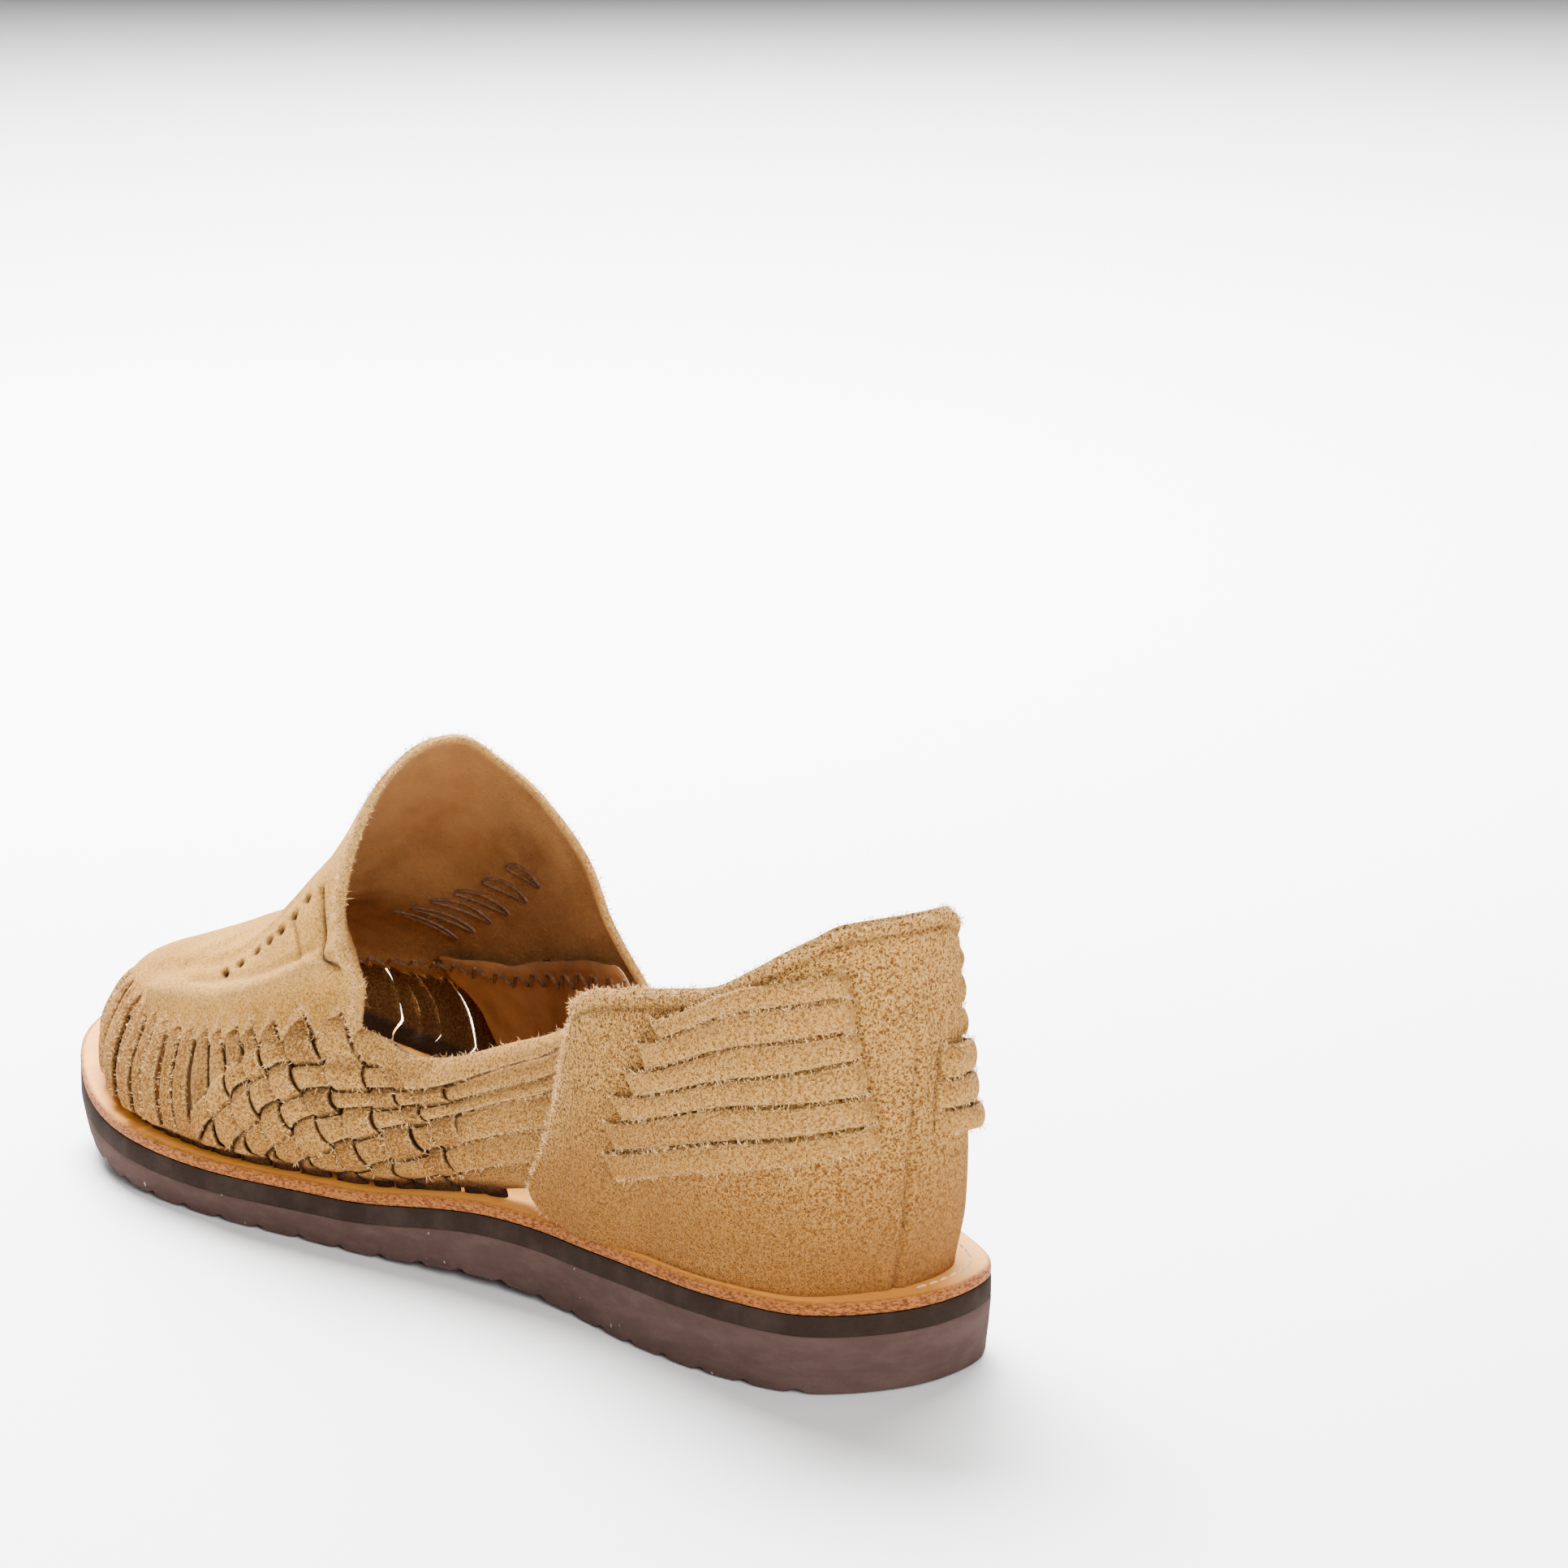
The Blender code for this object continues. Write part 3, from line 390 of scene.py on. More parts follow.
# %% Parcels of points
class Parcel:
    """Points, faces and attribute values gathered into one mesh."""

    def __init__(self):
        self.points, self.faces, self.marks, self.count = [], [], {}, 0

    def add(self, points, faces, **marks):
        points = np.asarray(points, float).reshape(-1, 3)
        self.faces += [tuple(v + self.count for v in face) for face in faces]
        for name in dict.fromkeys([*self.marks, *marks]):
            value = np.broadcast_to(np.ravel(marks.get(name, 0.0)), len(points))
            self.marks.setdefault(name, [np.zeros(self.count)]).append(value)
        self.points.append(points)
        self.count += len(points)

    def tube(self, sections, **marks):
        """Sections (rows, around, 3) joined into a strip with closed ends."""
        rows, around = sections.shape[:2]
        faces = grid_faces(rows, around, closed=True)
        faces += [tuple(range(around))[::-1], tuple(range((rows - 1) * around, rows * around))]
        marks = {k: np.broadcast_to(v, (rows, around)).ravel() for k, v in marks.items()}
        self.add(sections, faces, **marks)

    def build(self, name, surface, slot, replaces=(), angle=45, weld=None):
        mesh = bpy.data.meshes.new(name)
        mesh.from_pydata(np.concatenate(self.points).tolist(), [], self.faces)
        for mark, values in self.marks.items():
            layer = mesh.attributes.new(mark, "FLOAT", "POINT")
            layer.data.foreach_set("value", np.concatenate(values).astype(np.float32))
        mesh.materials.append(surface)
        made = bpy.data.objects.new(name, mesh)
        bpy.context.scene.collection.objects.link(made)
        tidy_mesh(mesh, weld)
        mesh.polygons.foreach_set("use_smooth", [True] * len(mesh.polygons))
        mesh.set_sharp_from_angle(angle=math.radians(angle))
        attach(made, "root")
        if replaces:
            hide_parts(*replaces)
        print(name, len(mesh.polygons), "faces")


# %% [markdown]
# ## Materials as expressions
#
# A procedural material is a chain of nodes. To keep it readable, a socket is
# wrapped in a small class here: adding or multiplying two signals adds the
# Math node for it.


# %% Signals
class Signal:
    """A number that varies over a surface."""

    def __init__(self, finish, socket):
        self.finish, self.socket = finish, socket

    def math(self, operation, first, second):
        return self.finish.node("Math", {"operation": operation}, {0: first, 1: second})

    def __add__(self, other):
        return self.math("ADD", self, other)

    def __sub__(self, other):
        return self.math("SUBTRACT", self, other)

    def __rsub__(self, other):
        return self.math("SUBTRACT", other, self)

    def __mul__(self, other):
        return self.math("MULTIPLY", self, other)

    __radd__, __rmul__ = __add__, __mul__

    def between(self, low, high):
        """0 below low, 1 above high and smooth between."""
        return self.finish.node("MapRange", {"interpolation_type": "SMOOTHSTEP"},
                                {"Value": self, "From Min": low, "From Max": high})

    def clamp(self):
        return self.finish.node("Clamp", {}, {"Value": self})


print("a signal also has", ", ".join(name for name in vars(Signal) if name[0] != "_"))

# %% [markdown]
# A finish is a material with its Principled shader. One method adds any node by
# its type. Colours are mixed with the Mix node, because a Math node would turn
# them grey. All noises are placed in metres on the object itself.


# %% Finishes
class Finish:
    """A material with a Principled shader, and the nodes that feed it."""

    def __init__(self, name, **constants):
        self.material = bpy.data.materials.new(name)
        self.material.use_nodes = True
        self.tree = self.material.node_tree
        self.shader = self.tree.nodes["Principled BSDF"]
        self.place = self.node("TexCoord", {}, {}, "Object")
        for socket, value in constants.items():
            self.shader.inputs[socket.replace("_", " ")].default_value = value

    def node(self, kind, settings, inputs, output=0):
        made = self.tree.nodes.new("ShaderNode" + kind)
        for name, value in settings.items():
            setattr(made, name, value)
        for name, value in inputs.items():
            if isinstance(value, Signal):
                self.tree.links.new(value.socket, made.inputs[name])
            else:
                made.inputs[name].default_value = value
        return Signal(self, made.outputs[output])

    def noise(self, size, detail=3.0, rough=0.55, stretch=(1, 1, 1), shift=0.0):
        """Noise whose lumps are about `size` metres across."""
        place = self.place
        if stretch != (1, 1, 1) or shift:
            place = self.node("Mapping", {}, {"Vector": place, "Scale": stretch,
                                              "Location": (shift, shift, shift)})
        return self.node("TexNoise", {}, {"Vector": place, "Scale": 1 / size,
                                          "Detail": detail, "Roughness": rough})

    def mark(self, name):
        """A number stored on the mesh."""
        return self.node("Attribute", {"attribute_name": name}, {}, "Fac")

    def mix(self, first, second, share):
        first, second = (v if isinstance(v, Signal) else (*v, 1) for v in (first, second))
        return self.node("Mix", {"data_type": "RGBA"}, {0: share, 6: first, 7: second}, 2)

    def feed(self, socket, signal):
        self.tree.links.new(signal.socket, self.shader.inputs[socket])

    def bump(self, *layers):
        """Layers of (height, depth in metres), the coarsest first."""
        normal = None
        for height, depth in layers:
            inputs = {"Height": height, "Distance": depth, "Strength": 1.0}
            if normal:
                inputs["Normal"] = normal
            normal = self.node("Bump", {}, inputs)
        self.feed("Normal", normal)


print("a finish has", ", ".join(name for name in vars(Finish) if name[0] != "_"))

# %% [markdown]
# ## Suede
#
# Suede is leather with its flesh side out: short fibres stand up and clump, so
# it has no gloss, a grain finer than a millimetre and a pale bloom where the
# fibres catch light. It is darker and more orange-brown low down, near the
# footbed. The pale of cut edges also carries a painted highlight along the
# vamp's raised ridge, and a dark mark paints shade under crossing strips, near
# the footbed, in creases, grooves and slots. The vamp is the same hide, rubbed
# smoother. The inside of the upper is smooth, orange-brown leather.


# %% Suede
PALE, RUST, IN_SHADOW = (0.88, 0.51, 0.165), (0.34, 0.125, 0.024), (0.055, 0.024, 0.010)
SPECK, ROOT = (0.22, 0.090, 0.020), (0.24, 0.105, 0.028)
LINING, WORN_LINING = (0.46, 0.215, 0.066), (0.35, 0.145, 0.038)
PATCH, CLUMP, FIBRE, SAG = 0.028, 0.00065, 0.00035, 0.011


def suede(name, nap, grain, sand, tan):
    """Suede: how much its nap shows, how deep its grain is, and its two tones."""
    made = Finish(name, Roughness=0.95, Sheen_Weight=0.03, Sheen_Roughness=0.5,
                  Specular_IOR_Level=0.05)
    patches = made.noise(PATCH, 2)
    clumps = made.noise(CLUMP, 4, 0.65)
    fibres = made.noise(FIBRE, 2, 0.6, shift=3.1)
    body = made.mix(tan, sand, (patches - 0.5) * 2.4 + 0.55 + made.mark("tone"))
    # The edge mark brings pale cut edges, and on the vamp also the painted highlight of its raised
    # ridge.
    bloom_and_highlight = (clumps.between(0.50, 0.60) * nap + made.mark("edge") * 0.55).clamp()
    specks = (clumps.between(0.49, 0.40) * nap * 1.35).clamp()
    roots = fibres.between(0.46, 0.32) * nap
    # Darker orange-brown where the low mark is high, towards the footbed.
    low_darkening = (made.mark("low") * (0.42 + patches * 0.55)).clamp()
    for colour, share in ((PALE, bloom_and_highlight), (SPECK, specks), (ROOT, roots), (RUST, low_darkening)):
        body = made.mix(body, colour, share)
    stain = made.noise(0.020, 3, shift=1.7).between(0.38, 0.7)
    body = made.mix(body, made.mix(LINING, WORN_LINING, stain), made.mark("inner").clamp())
    # Painted shade: where the dark mark is high the colour goes to IN_SHADOW.
    made.feed("Base Color", made.mix(body, IN_SHADOW, made.mark("dark").clamp()))
    made.bump((made.noise(SAG, 3), 0.0012), (clumps, 0.0030 * grain), (fibres, 0.0005 * grain))
    return made.material


vamp_suede = suede("vamp_suede", 0.36, 0.65, (0.76, 0.380, 0.070), (0.52, 0.240, 0.046))
strip_suede = suede("strip_suede", 0.55, 0.95, (0.72, 0.350, 0.084), (0.42, 0.186, 0.042))
counter_suede = suede("counter_suede", 0.85, 1.35, (0.84, 0.410, 0.095), (0.60, 0.272, 0.060))
print("suedes:", vamp_suede.name, strip_suede.name, counter_suede.name)

# %% [markdown]
# ## Leather, thread and laces
#
# Most other finishes wander between two tones with a noise, so one helper makes
# them. The footbed's top is peach, greased and worn by the foot. Its cut edge
# is raw, darker and streaked, and a mark on the mesh says where it is.


# %% Leather and thread
def two_tone(name, first, second, pattern, low, high, **constants):
    """A finish whose colour goes from one tone to another with a noise."""
    made = Finish(name, **constants)
    made.feed("Base Color", made.mix(first, second, made.noise(*pattern).between(low, high)))
    return made


inside = two_tone("inside_leather", (0.36, 0.155, 0.048), (0.25, 0.095, 0.026), (0.020, 3),
                  0.38, 0.7, Roughness=0.62)
inside.bump((inside.noise(0.007, 3), 0.0004), (inside.noise(0.0008, 3), 0.00012))
cotton = two_tone("cream_thread", (0.80, 0.66, 0.46), (0.58, 0.42, 0.25), (0.0008, 2),
                  0.4, 0.7, Roughness=0.8)
lace_leather = two_tone("inside_laces", (0.085, 0.036, 0.014), (0.16, 0.070, 0.026),
                        (0.0012, 2), 0.4, 0.7, Roughness=0.75)
fibre_finish = two_tone("suede_fibres", (0.66, 0.36, 0.12), (0.85, 0.54, 0.23), (0.003, 2),
                        0.4, 0.6, Roughness=0.9, Sheen_Weight=0.2)
print("finishes in two tones:", inside.material.name, cotton.material.name,
      lace_leather.material.name, fibre_finish.material.name)

# %% The footbed's leather
PEACH, GREASED, PORE = (0.90, 0.385, 0.060), (0.74, 0.29, 0.045), (0.86, 0.46, 0.150)
CUT, DEEP_CUT = (0.40, 0.135, 0.030), (0.13, 0.038, 0.010)
ALONG_EDGE = (1, 1, 2.6)
insole = Finish("footbed_leather", Roughness=0.7, Specular_IOR_Level=0.12)
pores = insole.noise(0.0011, 4)
shreds = insole.noise(0.0012, 4, 0.7, ALONG_EDGE).between(0.42, 0.60)
peach = insole.mix(PEACH, GREASED, insole.noise(0.030, 3).between(0.4, 0.7))
peach = insole.mix(peach, PORE, pores.between(0.52, 0.75) * 0.30)
rough_cut = insole.mix(CUT, DEEP_CUT, shreds)
insole.feed("Base Color", insole.mix(peach, rough_cut, insole.mark("cut").clamp()))
furrows = insole.noise(0.0014, 4, 0.7, ALONG_EDGE) * insole.mark("cut")
insole.bump((furrows, 0.0007), (pores, 0.00010))
print("the footbed's leather has", len(insole.tree.nodes), "nodes")

# %% [markdown]
# ## Rubber
#
# Both rubbers are dull. The outsole's is a warmer, mauve brown, smeared by the
# mould and flecked with pale specks of dust. The midsole's is nearly black.

# %% Rubber
dark_rubber = two_tone("midsole_rubber", (0.021, 0.0130, 0.0095), (0.033, 0.0215, 0.0165),
                       (0.010, 4), 0.4, 0.75, Roughness=0.9, Specular_IOR_Level=0.06)
dark_rubber.bump((dark_rubber.noise(0.0007, 3), 0.00010))

MAUVE, PALE_MAUVE, DUST = (0.062, 0.0365, 0.0300), (0.078, 0.0470, 0.0395), (0.30, 0.26, 0.225)
rubber = Finish("outsole_rubber", Roughness=0.9, Specular_IOR_Level=0.06)
smears = rubber.noise(0.0060, 3, 0.6, (0.5, 0.5, 1.6))
flecks = rubber.noise(0.0012, 0, 0.5, (1, 1, 0.6), 5.0).between(0.85, 0.88)
mauve = rubber.mix(MAUVE, PALE_MAUVE, smears.between(0.35, 0.70))
rubber.feed("Base Color", rubber.mix(mauve, DUST, flecks))
rubber.bump((smears, 0.00008), (rubber.noise(0.0006, 3), 0.00008))
print("materials:", len(bpy.data.materials))

# %% [markdown]
# ## The sole
#
# Three layers are glued up: a rubber outsole with cross grooves, a thin dark
# midsole, and the leather footbed, whose edge is cut raw. Each layer is a stack
# of rings that follow the outline, drawn in a little where an edge is rounded,
# and closed by rows of quads across.


# %% Rings of the sole
END_SHARE = 0.12
ends = (1 - np.cos(np.linspace(0, math.pi / 2, 40))) * END_SHARE
middle = np.linspace(END_SHARE, 1 - END_SHARE, 420)
shares = np.r_[ends[:-1], middle, (1 - ends[:-1])[::-1]]
WELD = 1e-5


def sides_at(inset, shares):
    """Outer side, inner side and place along of the outline, drawn in by inset."""
    base = sole_outline()
    loop = base + inward(base) * inset
    heel = int(loop[:, 1].argmin())
    loop = np.roll(loop, -heel, 0)
    toe = int(loop[:, 1].argmax())
    u = loop[0, 1] + (loop[toe, 1] - loop[0, 1]) * shares
    outer = np.interp(u, loop[: toe + 1, 1], loop[: toe + 1, 0])
    back = np.vstack([loop[toe:], loop[:1]])[::-1]
    return outer, np.interp(u, back[:, 1], back[:, 0]), u


def sole_layer(rings, cut=0.0, across=10):
    """Rings of (inset, height by u), the lowest first, closed below and above."""
    parcel = Parcel()
    count, sections = len(shares), []
    for inset, height in rings:
        outer, inner, u = sides_at(inset, shares)
        x, along = np.r_[outer, inner[-2:0:-1]], np.r_[u, u[-2:0:-1]]
        sections.append(np.column_stack([x - MIDDLE_X, LENGTH / 2 - along, height(along)]))
    around = 2 * count - 2
    cut = np.repeat(np.broadcast_to(cut, len(rings)), around)
    parcel.add(sections, grid_faces(len(rings), around, closed=True), cut=cut)
    mirror = (around - np.arange(count)) % around
    for section in (sections[0], sections[-1]):
        share = np.linspace(0, 1, across)[None, :, None]
        rows = section[:count, None] * (1 - share) + section[mirror][:, None] * share
        parcel.add(rows, grid_faces(count, across))
    return parcel


print("each ring has", 2 * len(shares) - 2, "points")

# %% [markdown]
# The tread is a row of rounded grooves across the outsole. They are cut into
# its lowest rings and fade out up its wall.

# %% The three layers
groove_count = round((LENGTH - 2 * TREAD_PITCH) / TREAD_PITCH)
grooves = np.linspace(TREAD_PITCH, LENGTH - TREAD_PITCH, groove_count + 1)
GROOVE_REACH = TREAD_GROOVE * 0.75


def tread(u):
    nearest = np.abs(u[:, None] - grooves[None]).min(axis=1)
    return TREAD_DEPTH * np.cos(np.clip(nearest / GROOVE_REACH, 0, 1) * math.pi / 2) ** 2


def outsole_top(u):
    return sole_bottom(u) + stack(u) - MIDSOLE_THICK


def midsole_top(u):
    return sole_bottom(u) + stack(u)


sole_layer((
    (SOLE_TAPER + 0.0012, lambda u: sole_bottom(u) + tread(u)),
    (SOLE_TAPER + 0.0003, lambda u: sole_bottom(u) + tread(u) * 0.6 + 0.0003),
    (SOLE_TAPER, lambda u: sole_bottom(u) + tread(u) * 0.35 + 0.0012),
    (SOLE_TAPER * 0.5, lambda u: (sole_bottom(u) + outsole_top(u)) / 2),
    (0.0, lambda u: outsole_top(u) - 0.0006),
    (0.0002, lambda u: outsole_top(u) - 0.0001),
)).build("outsole_rubber", rubber.material, "outsole", ["outsole"], 40, WELD)
sole_layer((
    (0.0001, outsole_top),
    (0.0, lambda u: outsole_top(u) + 0.0005),
    (0.0, lambda u: midsole_top(u) - 0.0007),
    (0.0003, lambda u: midsole_top(u) - 0.0002),
)).build("midsole_rubber", dark_rubber.material, "midsole", ["midsole"], 40, WELD)
sole_layer((
    (0.0005, midsole_top),
    (0.0001, lambda u: midsole_top(u) + 0.0003),
    (0.0, lambda u: footbed_top(u) - 0.0012),
    (0.0001, lambda u: footbed_top(u) - 0.0006),
    (0.0005, lambda u: footbed_top(u) - 0.00015),
    (0.0012, footbed_top),
), [1, 1, 1, 1, 0.7, 0.1]).build(
    "footbed_leather", insole.material, "footbed", ["footbed"], 40, WELD)

# %% [markdown]
# A row of cream stitches holds the footbed to the midsole round the heel. Each
# stitch is a short bowed thread; its two ends go down into the leather.


# %% Stitches round the heel
STITCH_INSET, STITCH_PITCH, STITCH_LENGTH, STITCH_RADIUS = 0.0043, 0.0036, 0.0024, 0.00024
FIRST_STITCH, LAST_STITCH = 0.004, 0.006
STITCH_BOW, STITCH_SUNK = 0.0003, 0.0001


def thread(parcel, path, radius, around=6):
    """A round thread along a path that never runs straight up."""
    path = np.asarray(path, float)
    along = np.gradient(path, axis=0)
    along /= np.linalg.norm(along, axis=1)[:, None]
    side = np.cross(along, [0, 0, 1.0])
    side /= np.maximum(np.linalg.norm(side, axis=1)[:, None], 1e-9)
    up = np.cross(side, along)
    angle = np.linspace(0, 2 * math.pi, around, endpoint=False)[None, :, None]
    spokes = np.cos(angle) * side[:, None] + np.sin(angle) * up[:, None]
    parcel.tube(path[:, None] + radius * spokes)


stitches = Parcel()
line = sole_outline(2000)
line = line + inward(line) * STITCH_INSET
run = line[np.r_[1560:2000, 0:12]]
walked = np.r_[0, np.cumsum(np.linalg.norm(np.diff(run, axis=0), axis=1))]
bow = np.sin(np.linspace(0, math.pi, 7)) * STITCH_BOW - STITCH_SUNK
for start in np.arange(FIRST_STITCH, walked[-1] - LAST_STITCH, STITCH_PITCH):
    s = start + np.linspace(0, STITCH_LENGTH, 7)
    x, u = (np.interp(s, walked, run[:, k]) for k in (0, 1))
    path = np.column_stack([x - MIDDLE_X, LENGTH / 2 - u, footbed_top(u) + bow])
    thread(stitches, path, STITCH_RADIUS)
stitches.build("footbed_stitches", cotton.material, "footbed")

# %% [markdown]
# ## The weave's two families of lines
#
# At each side, strips fall from the vamp to the footbed, and other strips rise
# from the footbed and run back to the counter. Both families are kept as a few
# edge lines. Any point on the last then has two running numbers, one counted
# along each family, and the weave is plain: a rising strip lies on top where
# the sum of the two whole numbers is even.

# %% Tables of the weave
FALLS = (
    # top, bottom
    (0.718, 0.690), (0.701, 0.655), (0.684, 0.621), (0.662, 0.594), (0.643, 0.560),
    (0.618, 0.522), (0.580, 0.500), (0.542, 0.478), (0.520, 0.430), (0.500, 0.408),
    (0.450, 0.385),
)
RISES = (
    # start, height, reach
    (0.408, 0.050, 0.080), (0.500, 0.088, 0.100), (0.560, 0.132, 0.085), (0.594, 0.183, 0.060),
    (0.621, 0.208, 0.036), (0.655, 0.245, 0.036), (0.690, 0.300, 0.036), (0.712, 0.362, 0.036),
)
COLLAR = (
    # along, height
    (0.280, 0.270), (0.300, 0.275), (0.360, 0.285), (0.430, 0.300), (0.478, 0.310),
    (0.508, 0.345), (0.538, 0.372),
)
TONGUE_EDGE = (
    # height, outer side along, inner side along
    (0.372, 0.538, 0.479), (0.440, 0.544, 0.498), (0.520, 0.564, 0.517), (0.600, 0.588, 0.524),
    (0.750, 0.602, 0.560), (0.900, 0.609, 0.594), (1.000, 0.599, 0.599),
)
EDGE_POINT, EDGE_ARCH = 0.345, 0.415
CORNER_HEIGHT = TONGUE_EDGE[0][0]
print(len(FALLS) - 1, "falling and", len(RISES) - 1, "rising strips a side")

# %% [markdown]
# The corner of the vamp lies farther back on the inner side, so the collar's
# table is drawn together in front of a still point there.

# %% Corner and collar
COLLAR_STILL = 0.36


def corner(side):
    return TONGUE_EDGE[0][1 if side > 0 else 2]


def collar_height(side, along):
    along = np.asarray(along, float)
    stretched = COLLAR_STILL + (along - COLLAR_STILL) * (
        corner(1) - COLLAR_STILL) / (corner(side) - COLLAR_STILL)
    along = np.where(along > COLLAR_STILL, stretched, along)
    return through(along, column(COLLAR, 0), column(COLLAR, 1))


print("the collar is", round(float(collar_height(1, corner(1))), 3),
      "of the way up at the vamp's corner")

# %% [markdown]
# A falling line runs from its place on the vamp's edge, or on the collar, to
# its place on the footbed. A whole number names a line, and a broken one a
# place between two lines.

# %% Falling lines
FALL_BEND = 1.05


def fall_rows(side):
    rows = []
    for k, (top, bottom) in enumerate(FALLS):
        after = FALLS[k + 1][0] if k + 1 < len(FALLS) else 0
        high = EDGE_POINT
        if top >= corner(side) > after:
            top, high = corner(side), CORNER_HEIGHT
        elif top < corner(side):
            high = float(collar_height(side, top))
        rows.append((top, bottom, high))
    return np.array(rows)


FALL_ROWS = {side: fall_rows(side) for side in (1, -1)}
CORNER_FALL = {
    side: int(np.argmax(FALL_ROWS[side][:, 0] == corner(side))) for side in (1, -1)}


def fall_lines(side, height):
    """Places along of every falling edge at these heights: (lines, points)."""
    top, bottom, high = (row[:, None] for row in FALL_ROWS[side].T)
    return bottom + (top - bottom) * (np.maximum(height, 0)[None] / high) ** FALL_BEND


def on_line(lines, index):
    """The value at a running number, whole on a line and broken between two."""
    k = np.clip(np.floor(index).astype(int), 0, len(lines) - 2)
    share, points = index - k, np.arange(lines.shape[1])
    return lines[k, points] * (1 - share) + lines[k + 1, points] * share


def fall_along(side, index, height):
    return on_line(fall_lines(side, height), index)


def fall_index(side, along, height):
    lines = fall_lines(side, height)
    return sum(np.clip((here - along) / (here - after), 0, 1)
               for here, after in zip(lines, lines[1:]))


print("vamp corner follows fall", CORNER_FALL[1], "outside and", CORNER_FALL[-1], "inside")

# %% [markdown]
# A rising line starts at the footbed, climbs steeply and levels out as it runs
# back. The line below the collar follows it in the end.

# %% Rising lines
RISE_BEND = 1.2


def rise_lines(side, along):
    """Heights of every rising edge at these places along: (lines, points)."""
    rows = [high * (1 - np.exp(-((np.maximum(start - along, 0) / reach) ** RISE_BEND)))
            for start, high, reach in RISES]
    level = smooth(along, corner(side) - 0.03, corner(side) - 0.12)
    rows[6] = rows[6] * (1 - level) + collar_height(side, along) * level
    rows[7] = np.maximum(rows[7], rows[6] + 0.004)
    return np.array(rows)


def rise_height(side, index, along):
    return on_line(rise_lines(side, along), index)


def rise_index(side, along, height):
    lines = rise_lines(side, along)
    return sum(np.clip((height - low) / (high - low + 1e-7), 0, 1)
               for low, high in zip(lines, lines[1:]))


print("rising lines at 0.4 of the length:", np.round(rise_lines(1, np.full(1, 0.4))[:, 0], 3))

# %% [markdown]
# ## Ribbons of leather
#
# A strip's section is a flat loop with a crowned top and rounded edges. Its
# height above the last swings over and under with the weave's numbers, read at
# each point of the section, so a strip bends exactly where its neighbours
# cross it. Near the footbed every strip curls in and its end goes down into the
# leather.

# %% The section of a strip
SECTION = np.array([
    # across, above the middle in thicknesses, edge mark
    (-1.00, -0.05, 1.0), (-0.95, 0.28, 0.9), (-0.76, 0.50, 0.25), (-0.38, 0.68, 0.0),
    (0.00, 0.74, 0.0), (0.38, 0.68, 0.0), (0.76, 0.50, 0.25), (0.95, 0.28, 0.9),
    (1.00, -0.05, 1.0), (0.90, -0.42, 0.6), (0.45, -0.50, 0.0), (-0.45, -0.50, 0.0),
    (-0.90, -0.42, 0.6),
])
ACROSS, ABOVE, CUT_EDGE = SECTION.T
WEAVE, THICK = 0.0015, 0.0016
CURL_START, CURL_SINK, END_DROP = 0.050, 0.0026, 0.0014
BELLY = 0.0011
FOOT_DARK, FOOT_LOW, LOW_STOP = 0.85, 0.85, 0.19


def swing(index):
    return np.clip(1.18 * np.sin(np.pi * index), -1, 1)


def lay(parcel, t, height, lift, tone=0.0, thick=THICK, low=0.0, dark=0.0, rim=0.35):
    """One ribbon: place, height and lift of every point as (rows, section)."""
    curl = smooth(height, CURL_START, 0.0)
    belly = BELLY * smooth(height, 0.0, 0.05) * smooth(height, 0.32, 0.12)
    lift = (lift + belly) * (1 - curl) - CURL_SINK * curl + ABOVE[None] * thick
    points = on_last(t, height, lift, END_DROP * smooth(height, 0.006, 0.0))
    edge = np.broadcast_to(CUT_EDGE[None], t.shape) * np.minimum(thick / THICK, 1)
    low = FOOT_LOW * smooth(height, LOW_STOP, 0.0) + low
    # Painted shade: the underside of the section is darkened by rim, and the whole strip darkens
    # where it curls in above the footbed.
    under = np.where(ABOVE < 0, 1.0, 0.0)[None] * rim
    dark = np.clip(dark + FOOT_DARK * smooth(height, CURL_START, 0.006) + under, 0, 1)
    parcel.tube(points, tone=tone, edge=edge * (1 - dark), low=low, dark=dark)


def across_section(rows):
    """Empty numbers for every point of a ribbon with this many rows."""
    return np.zeros((rows, len(SECTION)))


print("a strip's section is", round(float(np.ptp(ABOVE)) * THICK * 1000, 2), "mm thick")

# %% [markdown]
# A falling strip narrows towards the vamp's edge and goes under one of its
# arches. From the vamp's corner back it goes under the collar instead. Where it
# passes under a rising strip it is in shadow.


# %% Strips that fall from the vamp
FALL_GAP = {1: 0.085, -1: 0.060}
UNDER_DARK = 0.85
FOOT_ROWS = np.linspace(0, 0.06, 9)[:-1]
wobble_rng = np.random.default_rng(7)


def passing(over):
    """How deep in shadow a point is, by how far it is over or under."""
    return UNDER_DARK * smooth(-over, -0.2, 0.5)


